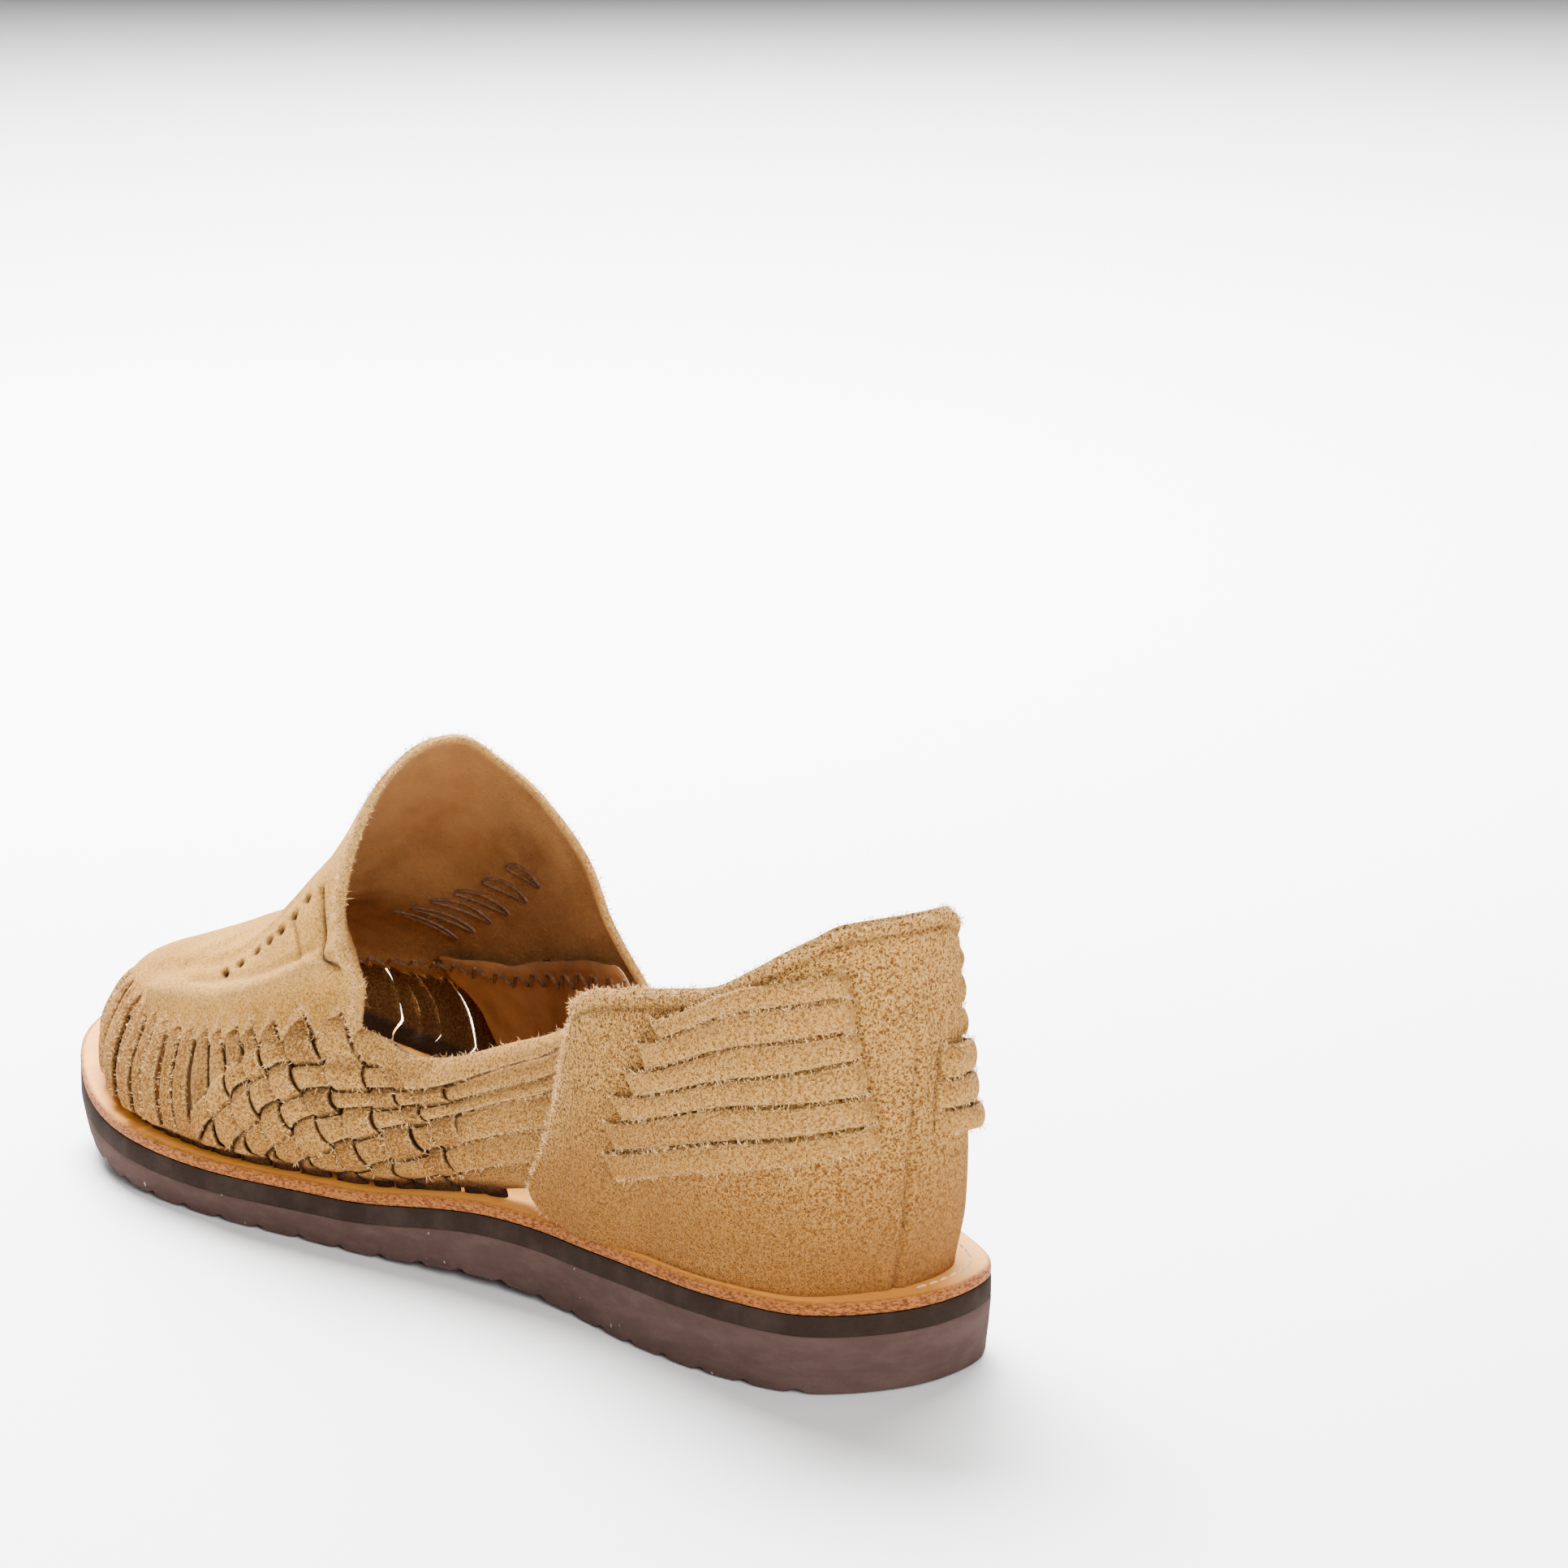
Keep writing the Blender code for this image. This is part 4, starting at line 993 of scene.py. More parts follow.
def fall_strip(parcel, side, k):
    over_collar = k >= CORNER_FALL[side]
    at_corner = k == CORNER_FALL[side] - 1
    wander = wobble_rng.normal(0, 0.012, 3)[0]
    level = EDGE_ARCH + 0.010
    if over_collar:
        place = fall_along(side, np.full(1, k + 0.5), np.array([0.33]))[0]
        level = float(collar_height(side, place))
    height = np.r_[FOOT_ROWS, np.linspace(0.06, 1, 84)] * level
    t, lift, dark = (across_section(len(height)) for _ in range(3))
    h = np.repeat(height[:, None], len(ACROSS), 1)
    width = (0.5 - FALL_GAP[side]) * (1 + 0.05 * np.sin(height * 30 + k))
    if not over_collar:
        width = width * (1 - 0.55 * smooth(height, EDGE_POINT - 0.045, EDGE_ARCH))
    for j, v in enumerate(ACROSS):
        index = k + 0.5 + v * width + wander * np.sin(height * 22 + k * 2)
        along = fall_along(side, index, height)
        t[:, j] = way_round(side, along)
        over = -(-1) ** k * swing(rise_index(side, along, height))
        lift[:, j], dark[:, j] = WEAVE * over, passing(over)
    if over_collar:
        tuck = smooth(h, level - 0.05, level - 0.015)
        lift = lift * (1 - tuck) - 0.0008 * tuck
    else:
        tuck = smooth(h, EDGE_POINT - 0.005, EDGE_ARCH)
        lift = lift * (1 - tuck) - 0.0016 * tuck
        arch_shadow = 0.35 * smooth(h, EDGE_ARCH - 0.01, EDGE_ARCH + 0.01)
        dark = np.maximum(dark * (1 - tuck), arch_shadow)
    if at_corner:
        proud = smooth(h, 0.29, 0.325) * smooth(h, EDGE_ARCH, EDGE_POINT)
        lift, dark = lift + (0.0024 - lift) * proud, dark * (1 - proud)
    tone = wobble_rng.uniform(-0.6, 0.35) + 0.15 + 0.4 * at_corner
    lay(parcel, t, h, lift, tone=tone, dark=dark, rim=0.6)


print("gaps between falling strips:", FALL_GAP)

# %% [markdown]
# A rising strip starts at the footbed, is woven through the falling ones, and
# leaves the weave as a free side strap that grows a little wider and goes under
# the counter's front edge. The seventh ends under the vamp's corner.


# %% Strips that rise and run back to the counter
RISE_GAP, FREE_GAP = 0.125, 0.020
STRAP_STOP = 0.272
COUNTER_SHADOW = (
    # height, along, the line where the straps go under the counter
    (0.000, 0.300), (0.035, 0.334), (0.110, 0.311), (0.165, 0.297), (0.230, 0.288),
    (0.292, 0.272),
)


def rise_strip(parcel, side, m):
    start, last_one = RISES[m + 1][0] - 0.0015, m == len(RISES) - 2
    stop = corner(side) - 0.004 if last_one else STRAP_STOP
    along = np.r_[np.linspace(start, start - 0.04, 42)[:-1], np.linspace(start - 0.04, stop, 150)]
    t, h, lift, dark = (across_section(len(along)) for _ in range(4))
    free = smooth(along, 0.44, 0.40)
    if m >= 5:
        free = smooth(along, corner(side) - 0.035, corner(side) - 0.075)
    for j, v in enumerate(ACROSS):
        index = m + 0.5 + v * (0.5 - RISE_GAP + (RISE_GAP - FREE_GAP) * free)
        height = rise_height(side, index, along)
        over = (-1) ** m * swing(fall_index(side, along, height))
        t[:, j], h[:, j] = way_round(side, along), height
        loose = (0.0007 + 0.0004 * (m % 2) - 0.0009 * v) * free
        lift[:, j] = WEAVE * over * (1 - free) + loose
        front = through(height, column(COUNTER_SHADOW, 0), column(COUNTER_SHADOW, 1))
        shadow = 0.65 * smooth(along, front + 0.014, front + 0.001)
        dark[:, j] = np.maximum(passing(over) * (1 - free), shadow)
    if last_one:
        tuck = smooth(h, EDGE_POINT - 0.03, EDGE_POINT + 0.01)
        tuck = tuck * smooth(along, corner(side) + 0.05, corner(side))[:, None]
        lift = lift * (1 - tuck) - 0.0021 * tuck
    into = smooth(along, 0.335, 0.31)[:, None]
    lay(parcel, t, h, lift - 0.0004 * into, tone=wobble_rng.uniform(-0.45, 0.45) + 0.3,
        dark=dark, rim=(0.6 - 0.15 * free)[:, None])


print("side straps end", STRAP_STOP * LENGTH, "m from the heel, under the counter")

# %% [markdown]
# Along the collar a folded strip covers the tops of the others. It begins under
# the vamp's corner, and a loop calls the three makers in turn for both sides.


# %% The collar's strip, and both sides of the weave
def collar_strip(parcel, side):
    """The folded strip along the collar's edge, from under the vamp's corner back."""
    at = corner(side)
    along = np.linspace(at + 0.032, at - 0.105, 80)
    t = np.repeat(way_round(side, along)[:, None], len(SECTION), 1)
    top = collar_height(side, np.minimum(along, at))
    top = top - 0.02 * smooth(along, at - 0.006, at + 0.012)
    wide = 0.052 * (0.75 + 0.25 * np.sin(np.linspace(0.6, 2.6, len(along))))
    h = top[:, None] + 0.004 + (ACROSS[None] - 1) / 2 * wide[:, None]
    under = np.maximum(smooth(along, at - 0.004, at + 0.010),
                       smooth(along, at - 0.075, at - 0.10))[:, None]
    over = smooth(ACROSS[None], 0.55, 1.0)
    lift = 0.0012 * (1 - under) - 0.0018 * under - 0.0010 * over
    lay(parcel, t, h, lift + 0 * t, tone=0.3)


weave = Parcel()
for side in (1, -1):
    for k in range(len(FALLS) - 1):
        fall_strip(weave, side, k)
    for m in range(len(RISES) - 1):
        rise_strip(weave, side, m)
    collar_strip(weave, side)
print("points in the weave:", weave.count)

# %% [markdown]
# ## Loops round the toe
#
# Between the two weaves the strips run straight down from the vamp to the
# footbed as narrow loops, with a slit between each two. They are a little
# uneven, and every second one sits deeper.


# %% Toe loops
WIDEST_SLIT, CLOSED_SLIT = 0.17, 0.03
INNER_SLITS = 0.38
LOOP_TOP = EDGE_ARCH + 0.04


def edge_place(share, height):
    """Place round of the toe's gap lines: share 0 is the outer first fall."""
    outer, inner = (way_round(side, fall_lines(side, height)[0]) for side in (1, -1))
    return outer * (1 - share) + inner * share


def slit_width(j, height, reach, flush, front, jitter):
    """Half the slit beside loop j, as a share of the loops' pitch."""
    slit = 0.055 + 0.055 * jitter[0] ** 2 / 2 * (jitter[4] > -0.6)
    bulge = np.sin(np.pi * np.clip((height - 0.02) / 0.40, 0, 1)) ** 0.6
    slit = np.minimum(slit, WIDEST_SLIT) * bulge * (1 - 0.8 * front) + CLOSED_SLIT
    under_arch = np.exp(-((height - reach + 0.13) / 0.045) ** 2)
    slit = slit + 0.16 * under_arch * flush * (1 - 0.75 * front)
    merge = smooth(height, reach - 0.11, reach - 0.01) * flush
    slit = slit * (1 - merge) - 0.02 * merge
    return slit * (INNER_SLITS if j > LOOPS / 2 else 1.0), merge


def toe_loop(parcel, j):
    jitter = wobble_rng.normal(0, 1, 5)
    flush = smooth(min(j, LOOPS - 1 - j), 1.5, 3.5)
    reach = LOOP_TOP + flush * (0.045 + 0.018 * (j % 3 - 1))
    height = np.r_[FOOT_ROWS, np.linspace(0.06, reach, 64)]
    front = math.exp(-(((j + 0.5) / LOOPS - 0.5) / 0.17) ** 2)
    slit, merge = slit_width(j, height, reach, flush, front, jitter)
    sway = 0.05 * jitter[1] * np.sin(height * 14 + jitter[2])
    t = across_section(len(height))
    for i, v in enumerate(ACROSS):
        t[:, i] = edge_place((j + 0.5 + v * (0.5 - slit) + sway) / LOOPS, height)
    h = np.repeat(height[:, None], len(ACROSS), 1)
    tuck = smooth(h, EDGE_POINT - 0.02, EDGE_ARCH + 0.01) * (1 - flush)
    proud = (0.0008 - 0.0007 * (j % 2) + 0.0002 * jitter[3]) * (1 - 0.5 * front)
    lift = proud * (1 - tuck) - 0.0018 * tuck
    lift = lift * (1 - merge[:, None]) + 0.00045 * merge[:, None]
    thick = (THICK * (1 - 0.85 * merge) * (1 - 0.35 * front))[:, None]
    tone = (wobble_rng.uniform(-0.5, 0.2) * (1 - merge) + 0.2 * merge)[:, None]
    # Painted shade just under the vamp's arches, where the side loops go beneath its edge.
    dark = 0.35 * smooth(h, EDGE_ARCH - 0.02, EDGE_ARCH + 0.01) * (1 - flush)
    lay(parcel, t, h, lift, tone=tone, low=0.10 * (1 - merge)[:, None], thick=thick,
        dark=dark, rim=0.6 * (1 - merge[:, None]))


toe_span = float(edge_place(1, np.zeros(1))[0] - edge_place(0, np.zeros(1))[0])
LOOPS = round(toe_span * FEATHER_LENGTH / LOOP_WIDTH)
for j in range(LOOPS):
    toe_loop(weave, j)
print(LOOPS, "toe loops")
weave.build("woven_strips", strip_suede, "upper", ["upper"])

# %% [markdown]
# ## The vamp and its standing tongue
#
# One piece of suede covers the toe and stands up as the tongue. Its lower edge
# is scalloped: an arch over each strip and a point between two. The sheet is a
# grid that runs from the outer edge over the ridge to the inner edge; on the
# way its height above the last gives creases, the raised band at the side, and
# the puffed arches.


# %% The scalloped edge
def tongue_along(side, height):
    return through(height, column(TONGUE_EDGE, 0), column(TONGUE_EDGE, 1 if side > 0 else 2))


tips = {
    side: [way_round(side, FALL_ROWS[side][k, 0]) for k in range(CORNER_FALL[side] + 1)]
    for side in (1, -1)}
loop_tips = edge_place(np.arange(LOOPS + 1) / LOOPS, np.full(LOOPS + 1, EDGE_POINT))
TIPS = np.unique(np.round(np.r_[tips[1], loop_tips, tips[-1]], 6))


def edge_height(t):
    """The scalloped edge: a point at each tip and an arch between."""
    k = np.clip(np.searchsorted(TIPS, t) - 1, 0, len(TIPS) - 2)
    x = np.clip((t - TIPS[k]) / (TIPS[k + 1] - TIPS[k]), 0, 1)
    arch = (1 - np.abs(2 * x - 1)) ** 0.80
    toe = np.exp(-((t - TOE_T) / 0.10) ** 2)
    return EDGE_POINT + (EDGE_ARCH - EDGE_POINT) * arch * (1 - 0.35 * toe) + 0.01 * toe, arch


print(len(TIPS) - 1, "arches along the vamp's edge")

# %% [markdown]
# The grid's columns run from the outer edge of the sheet over the ridge to its
# inner edge, and its rows from the tongue down over the toe. The inner side is
# the outer one stretched to its own tongue edge.

# %% Vamp grid
TOE_SHARE = float(FEATHER[:, 1].max() / LENGTH)
COLUMNS, ROWS = 270, 74
climb_share = np.linspace(0, 1, ROWS + 1) ** 1.15
down_share = np.linspace(0, 1, COLUMNS + 1) ** 0.92
vamp_t = np.zeros((COLUMNS + 1, 2 * ROWS + 1))
vamp_h, vamp_arch = np.zeros_like(vamp_t), np.zeros_like(vamp_t)


def down_to_toe(side, height):
    """Places round, from the tongue's edge at this height down to the toe."""
    start_out, start_in = (tongue_along(s, height) for s in (1, -1))
    start = way_round(1, start_out)
    t = start + (TOE_T - start) * down_share
    if side > 0:
        return t
    along = foot(t)[:, 1] / LENGTH
    past = (along - start_out) * (TOE_SHARE - start_in) / (TOE_SHARE - start_out)
    return way_round(-1, start_in + past)


for side in (1, -1):
    low, arch = edge_height(down_to_toe(side, CORNER_HEIGHT))
    for r in range(ROWS + 1):
        height = low + (1 - low) * climb_share[r]
        c = r if side > 0 else 2 * ROWS - r
        vamp_t[:, c], vamp_h[:, c] = down_to_toe(side, height), height
        vamp_arch[:, c] = arch * np.exp(-((height - low) / 0.05) ** 2)
vamp_base = on_last(vamp_t, vamp_h, 0.0)
print("vamp grid", vamp_t.shape)

# %% [markdown]
# Creases are drawn as short lines in the shoe's own terms: share of
# the length and height towards the ridge. Each one presses a soft trough, or
# with a negative depth raises a ridge, across the points near it.

# %% Creases and slits of the vamp
CREASES = (
    # depth, half width, dark, points as (along, height)
    (0.0014, 0.0011, 1.10, (
        (0.626, 0.670), (0.612, 0.610), (0.598, 0.550), (0.587, 0.505), (0.569, 0.490))),
    (0.0009, 0.0010, 0.50, ((0.655, 0.640), (0.640, 0.590), (0.628, 0.545), (0.622, 0.520))),
    (-0.0026, 0.0046, -0.65, (
        (0.806, 0.470), (0.748, 0.495), (0.689, 0.480), (0.640, 0.475), (0.595, 0.490),
        (0.562, 0.530))),
    (0.0009, 0.0016, 0.20, (
        (0.760, 0.545), (0.720, 0.545), (0.680, 0.525), (0.640, 0.515), (0.606, 0.530))),
    (0.0005, 0.0020, 0.0, ((0.800, 0.600), (0.740, 0.640), (0.700, 0.690), (0.680, 0.760))),
    (-0.0007, 0.0045, 0.0, ((0.780, 0.640), (0.730, 0.700), (0.690, 0.780), (0.675, 0.880))),
    (-0.0006, 0.0040, 0.0, ((0.860, 0.560), (0.820, 0.640), (0.770, 0.740))),
    (0.0005, 0.0030, 0.0, ((0.880, 0.520), (0.840, 0.570), (0.790, 0.640), (0.760, 0.740))),
)
SLITS = (
    # along, height
    (0.728, 0.580), (0.714, 0.605), (0.698, 0.628), (0.684, 0.638), (0.671, 0.648),
    (0.659, 0.668), (0.648, 0.690),
)
SLIT_DEPTH, SLIT_HALF, SLIT_DARK = 0.0016, 0.0009, 1.25


def drawn(side, points, count=60):
    """A smooth line through (along, height) points, on the last."""
    points = np.array(points)
    s = np.linspace(0, 1, len(points))
    fine = np.linspace(0, 1, count)
    along, height = (through(fine, s, points[:, k]) for k in (0, 1))
    return on_last(way_round(side, along), height, 0.0)


def nearness(base, path):
    """Distance of each base point to a path, in metres."""
    flat = base.reshape(-1, 3)
    best = np.full(len(flat), 9.0)
    for point in path:
        best = np.minimum(best, ((flat - point) ** 2).sum(axis=1))
    return np.sqrt(best).reshape(base.shape[:-1])


vamp_lift, vamp_dark, ridge_highlight = (np.zeros_like(vamp_t) for _ in range(3))
for side in (1, -1):
    for depth, width, dark, points in CREASES:
        near = np.exp(-((nearness(vamp_base, drawn(side, points)) / width) ** 2))
        vamp_lift -= depth * near
        # A crease's dark paints shade along its trough; a negative dark paints a highlight along
        # its raised ridge.
        vamp_dark += max(dark, 0) * near**3
        ridge_highlight += max(-dark, 0) * near**2
    for along, height in SLITS:
        ends = ((along + 0.0035, height + 0.004), (along - 0.0035, height - 0.008))
        near = np.exp(-((nearness(vamp_base, drawn(side, ends, 12)) / SLIT_HALF) ** 2))
        vamp_lift -= SLIT_DEPTH * near
        # Painted shade in each slit.
        vamp_dark += SLIT_DARK * near
print(len(CREASES), "creases and", len(SLITS), "slits a side, the deepest",
      round(float(-vamp_lift.min()) * 1000, 2), "mm")

# %% [markdown]
# The sheet gets its thickness from two copies of the grid, one above the other,
# joined round the border through a rounded rim. The rim is where the raw cut
# shows pale fibres.


# %% A sheet of leather
def sheet_solid(parcel, t, height, lift, thick, rim=0.5, calm=None, **marks):
    """A closed sheet: the outer grid, a rounded border and the inner grid.

    The inner grid follows calm, a lift without creases, where that is given.
    """
    rows, columns = t.shape
    outer = on_last(t, height, lift)
    inner = on_last(t, height, (lift if calm is None else calm) - thick)
    middle = on_last(t, height, lift - thick / 2)
    border = np.r_[
        np.arange(columns), np.arange(1, rows) * columns + columns - 1,
        (rows - 1) * columns + np.arange(columns - 2, -1, -1),
        np.arange(rows - 2, 0, -1) * columns,
    ]
    i, j = border // columns, border % columns
    ii, jj = np.clip(i, 1, rows - 2), np.clip(j, 1, columns - 2)
    push = middle[i, j] - middle[ii, jj]
    size = np.maximum(np.linalg.norm(push, axis=1)[:, None], 1e-9)
    bulge = middle[i, j] + push / size * thick * rim
    count = rows * columns
    points = np.vstack([outer.reshape(-1, 3), inner.reshape(-1, 3), bulge])
    faces = grid_faces(rows, columns)
    faces += [f[::-1] for f in grid_faces(rows, columns, start=count)]
    for a in range(len(border)):
        b = (a + 1) % len(border)
        faces.append((border[a], border[b], 2 * count + b, 2 * count + a))
        faces.append((2 * count + a, 2 * count + b, border[b] + count, border[a] + count))
    values = {}
    for name, value in marks.items():
        value = np.broadcast_to(value, t.shape).ravel()
        values[name] = np.r_[value, value * (name != "dark"), value[border]]
    values["inner"] = np.r_[np.zeros(count), np.ones(count), np.zeros(len(border))]
    parcel.add(points, faces, **values)


trial = Parcel()
sheet_solid(trial, *np.meshgrid(np.linspace(0.2, 0.3, 4), (0.1, 0.2, 0.3)), 0.0, LEATHER)
print("a sheet of 12 points has", trial.count, "with its underside and rim")

# %% [markdown]
# The vamp's edge flares a little beside the tongue and lies lower round the
# toe, where it is also darker low down.

# %% Vamp mesh
VAMP_THICK = 0.0023
vamp = Parcel()
from_tongue = np.arange(COLUMNS + 1)[:, None]
from_side = np.minimum(np.arange(2 * ROWS + 1), np.arange(2 * ROWS + 1)[::-1])[None]
edge_mark = np.maximum(np.exp(-(from_side / 1.5) ** 2), np.exp(-(from_tongue / 5.5) ** 2))
toe_low = 0.0016 * np.exp(-((vamp_t - TOE_T) / 0.13) ** 4) * smooth(vamp_h, 0.47, 0.40)
flare = 0.0012 * np.exp(-(from_tongue / 9.0) ** 2)
vamp_calm = 0.0010 + flare - toe_low
vamp_lift = vamp_lift + 0.0003 * vamp_arch + vamp_calm
toe_darkening = 0.25 * smooth(vamp_t, TOE_T - 0.13, TOE_T) * smooth(vamp_t, TOE_T + 0.13, TOE_T)
toe_darkening = toe_darkening * smooth(vamp_h, 0.62, 0.40)
# The dark mark carries the painted shade of creases and slits, and the edge mark the painted
# highlight of the ridge besides the pale cut rim.
sheet_solid(vamp, vamp_t, vamp_h, vamp_lift, VAMP_THICK, calm=vamp_calm, dark=vamp_dark,
            edge=np.maximum(edge_mark, ridge_highlight), tone=0.2, low=toe_darkening)
vamp.build("vamp_and_tongue", vamp_suede, "upper", ["upper"], 60, WELD)

# %% [markdown]
# ## The heel counter
#
# A shell of suede wraps the heel. Its top edge is folded and stitched, a seam
# runs down the back, and six straps come out of slots near the front edge, run
# over the shell and go in again beside the seam. The shell is a grid from the
# front edge to the back seam and on to the other front edge.

# %% Tables of the counter
COUNTER_FRONT = (
    # height, along
    (0.000, 0.293), (0.010, 0.325), (0.035, 0.334), (0.060, 0.329), (0.110, 0.311),
    (0.165, 0.297), (0.230, 0.288), (0.292, 0.272),
)
COUNTER_TOP = (
    # along, height
    (0.023, 0.450), (0.031, 0.445), (0.040, 0.425), (0.060, 0.395), (0.082, 0.365),
    (0.112, 0.333), (0.144, 0.320), (0.180, 0.308), (0.225, 0.297), (0.272, 0.292),
)
COUNTER_STRAPS = (
    # edge lines: height at the front edge, place and height of the front slot,
    # height at the middle, place and height of the rear slot
    (0.045, 0.1185, 0.062, 0.116, 0.0119, 0.141),
    (0.085, 0.1205, 0.094, 0.150, 0.0105, 0.172),
    (0.125, 0.1173, 0.131, 0.191, 0.0146, 0.208),
    (0.166, 0.1128, 0.166, 0.227, 0.0164, 0.253),
    (0.195, 0.1063, 0.200, 0.269, 0.0182, 0.293),
    (0.226, 0.0999, 0.241, 0.317, 0.0195, 0.341),
    (0.254, 0.0935, 0.278, 0.353, 0.0215, 0.381),
)
STRAP_MIDDLE = 0.0523
COUNTER_OVER = STRIP + LEATHER + 0.0007
STRAPS = len(COUNTER_STRAPS) - 1
print(STRAPS, "straps a side lie over the counter, which stands off the last by",
      round(COUNTER_OVER * 1000, 1), "mm at its front")

# %% [markdown]
# The shell's grid is found in two steps. Its top edge depends on the place
# round, and the front edge on the height, so the two are worked out in turn
# until they agree.

# %% Counter shell
UP, ROUND = 92, 150


def counter_front(height):
    """Place round of the counter's front edge on the outer side."""
    return way_round(1, through(height, column(COUNTER_FRONT, 0), column(COUNTER_FRONT, 1)))


def standoff(t):
    along = foot(t)[:, 1] / LENGTH
    return COUNTER_OVER * through(along, (0.19, 0.26), (0, 1))


def mirrored(side, own):
    return own if side > 0 else 1 - own


share = np.linspace(0, 1, ROUND + 1)
top = np.full(ROUND + 1, 0.30)
for _ in range(8):
    place = foot(counter_front(top) * share)[:, 1] / LENGTH
    top = through(place, column(COUNTER_TOP, 0), column(COUNTER_TOP, 1))
climb = np.linspace(0, 1, UP + 1)
counter_h = climb[:, None] * top[None]
own_t = counter_front(counter_h) * share[None]
shell_t = np.hstack([own_t[:, ::-1], 1 - own_t[:, 1:]])
shell_h = np.hstack([counter_h[:, ::-1], counter_h[:, 1:]])
print("counter shell", shell_t.shape, "points")

# %% [markdown]
# Each strap is bounded by two edge lines of the table. Its ends are a little
# hollow, so the slots that it goes through are curved. The three upper straps
# of the inner side end farther from the seam.

# %% Slots and lines of the straps
SHORTER = 0.021


def is_short(side, k):
    return side < 0 and k > 2


def slot_places(side, k, v):
    """Front and rear ends of strap k for v from -1 at its lower edge to 1."""
    low, high = COUNTER_STRAPS[k], COUNTER_STRAPS[k + 1]
    front = (low[1] + high[1]) / 2 + 0.0032 * v - 0.0012 * (1 - abs(v))
    rear = (low[4] + high[4]) / 2 + 0.0007 * v - 0.0010 * (1 - abs(v))
    return front, rear + (SHORTER if is_short(side, k) else 0.0)


def strap_height(k, f, own):
    """Height of a strap line on the shell at places round."""
    heights = []
    for front, slot, low, middle, rear, high in COUNTER_STRAPS[k : k + 2]:
        places = (0.0, rear, STRAP_MIDDLE, slot, float(counter_front(front)))
        heights.append(through(own, places, (high, high, middle, low, front)))
    return heights[0] * (1 - f) + heights[1] * f


def slot_line(side, k, end, count=9):
    """Points along the slot of strap k: end 0 is the front one and 1 the rear one."""
    v = np.linspace(-1, 1, count)
    own = np.array([float(slot_places(side, k, x)[end]) for x in v])
    height = [float(strap_height(k, (x + 1) / 2, np.array([o]))[0]) for x, o in zip(v, own)]
    return on_last(mirrored(side, own), np.array(height), standoff(own))


front_slot = slot_line(1, 0, 0)
print("the lowest slot is", round(float(np.linalg.norm(front_slot[-1] - front_slot[0])) * 1000, 1),
      "mm long")

# %% [markdown]
# A row of stitches presses the folded top edge, the back seam is a groove
# between two low ridges, and each slot is a short groove. Painted shade darkens
# the stitch groove, the seam and every slot. The shell bulges a little above the
# footbed.

# %% Slots, rim and back seam as relief
RIM_STITCH, SEAM_RIDGE = 1.9, 2.2
SLOT_DEPTH, SLOT_DARK = 0.0010, 0.30


def groove(distance, half):
    """1 in the middle of a line and soft beside it."""
    return np.exp(-(distance / half) ** 2)


shell_lift = standoff(shell_t.ravel()).reshape(shell_t.shape)
shell_dark, shell_edge = np.zeros_like(shell_t), np.zeros_like(shell_t)
from_front = np.minimum(np.arange(2 * ROUND + 1), np.arange(2 * ROUND + 1)[::-1])[None]
from_top = (1 - climb)[:, None] * np.hstack([top[::-1], top[1:]])[None]
rim_mm = from_top * 80
shell_lift += 0.0003 * smooth(rim_mm, 1.8, 1.2) - 0.0006 * groove(rim_mm - RIM_STITCH, 0.40)
shell_lift += 0.0011 * smooth(shell_h, -0.01, 0.05) * smooth(shell_h, 0.26, 0.10)
# Painted shade in the groove of the stitch row.
shell_dark += 0.40 * groove(rim_mm - RIM_STITCH, 0.35)
shell_edge += groove(rim_mm, 0.7) + groove(from_front, 1.5)
# A broad band behind the front edge is paler as well.
shell_edge += 0.80 * groove(from_front, 14.0) * smooth(shell_h, 0.03, 0.10)
seam = np.where(shell_t > 0.5, shell_t - 1, shell_t) * FEATHER_LENGTH * 1000
seam_bend = 4.6 * smooth(shell_h, 0.0, 0.30) - 2.2 + 0.25 * np.sin(shell_h * 30)
seam_shows = 0.25 + 0.75 * smooth(shell_h, 0.36, 0.26)
beside = np.abs(seam + seam_bend)
seam_relief = 0.0005 * groove(beside - SEAM_RIDGE, 1.5) - 0.0007 * groove(beside, 0.55)
shell_lift += seam_relief * seam_shows
# Painted shade in the seam's groove.
shell_dark += 0.30 * groove(beside, 0.45) * smooth(rim_mm, 0, 4) * seam_shows
for side in (1, -1):
    for k in range(STRAPS):
        for end in (0, 1):
            near = nearness(on_last(shell_t, shell_h, shell_lift), slot_line(side, k, end))
            shell_lift = shell_lift - SLOT_DEPTH * groove(near, 0.0009)
            # Painted shade in each slot.
            shell_dark += SLOT_DARK * groove(near, 0.0008)
counter = Parcel()
sheet_solid(counter, shell_t, shell_h, shell_lift, LEATHER, edge=shell_edge, dark=shell_dark,
            low=smooth(shell_h, 0.20, 0.0) * 1.05, tone=0.05)
counter.build("heel_counter_shell", counter_suede, "heel_counter", ["heel_counter"], 60)

# %% [markdown]
# The straps bow off the shell, the lowest one most, and their ends dive into
# the slots.

# %% Straps on the counter
STRAP_GAP, STRAP_DIVE, SHORT_BOW = 0.050, 0.0014, 0.2
strap_ends = np.linspace(0, 0.05, 10)[:-1]
run_share = np.r_[strap_ends, np.linspace(0.05, 0.95, 80), np.linspace(0.95, 1, 10)[1:]]
dive = np.maximum(smooth(run_share, 0.045, 0.0), smooth(run_share, 0.955, 1.0))


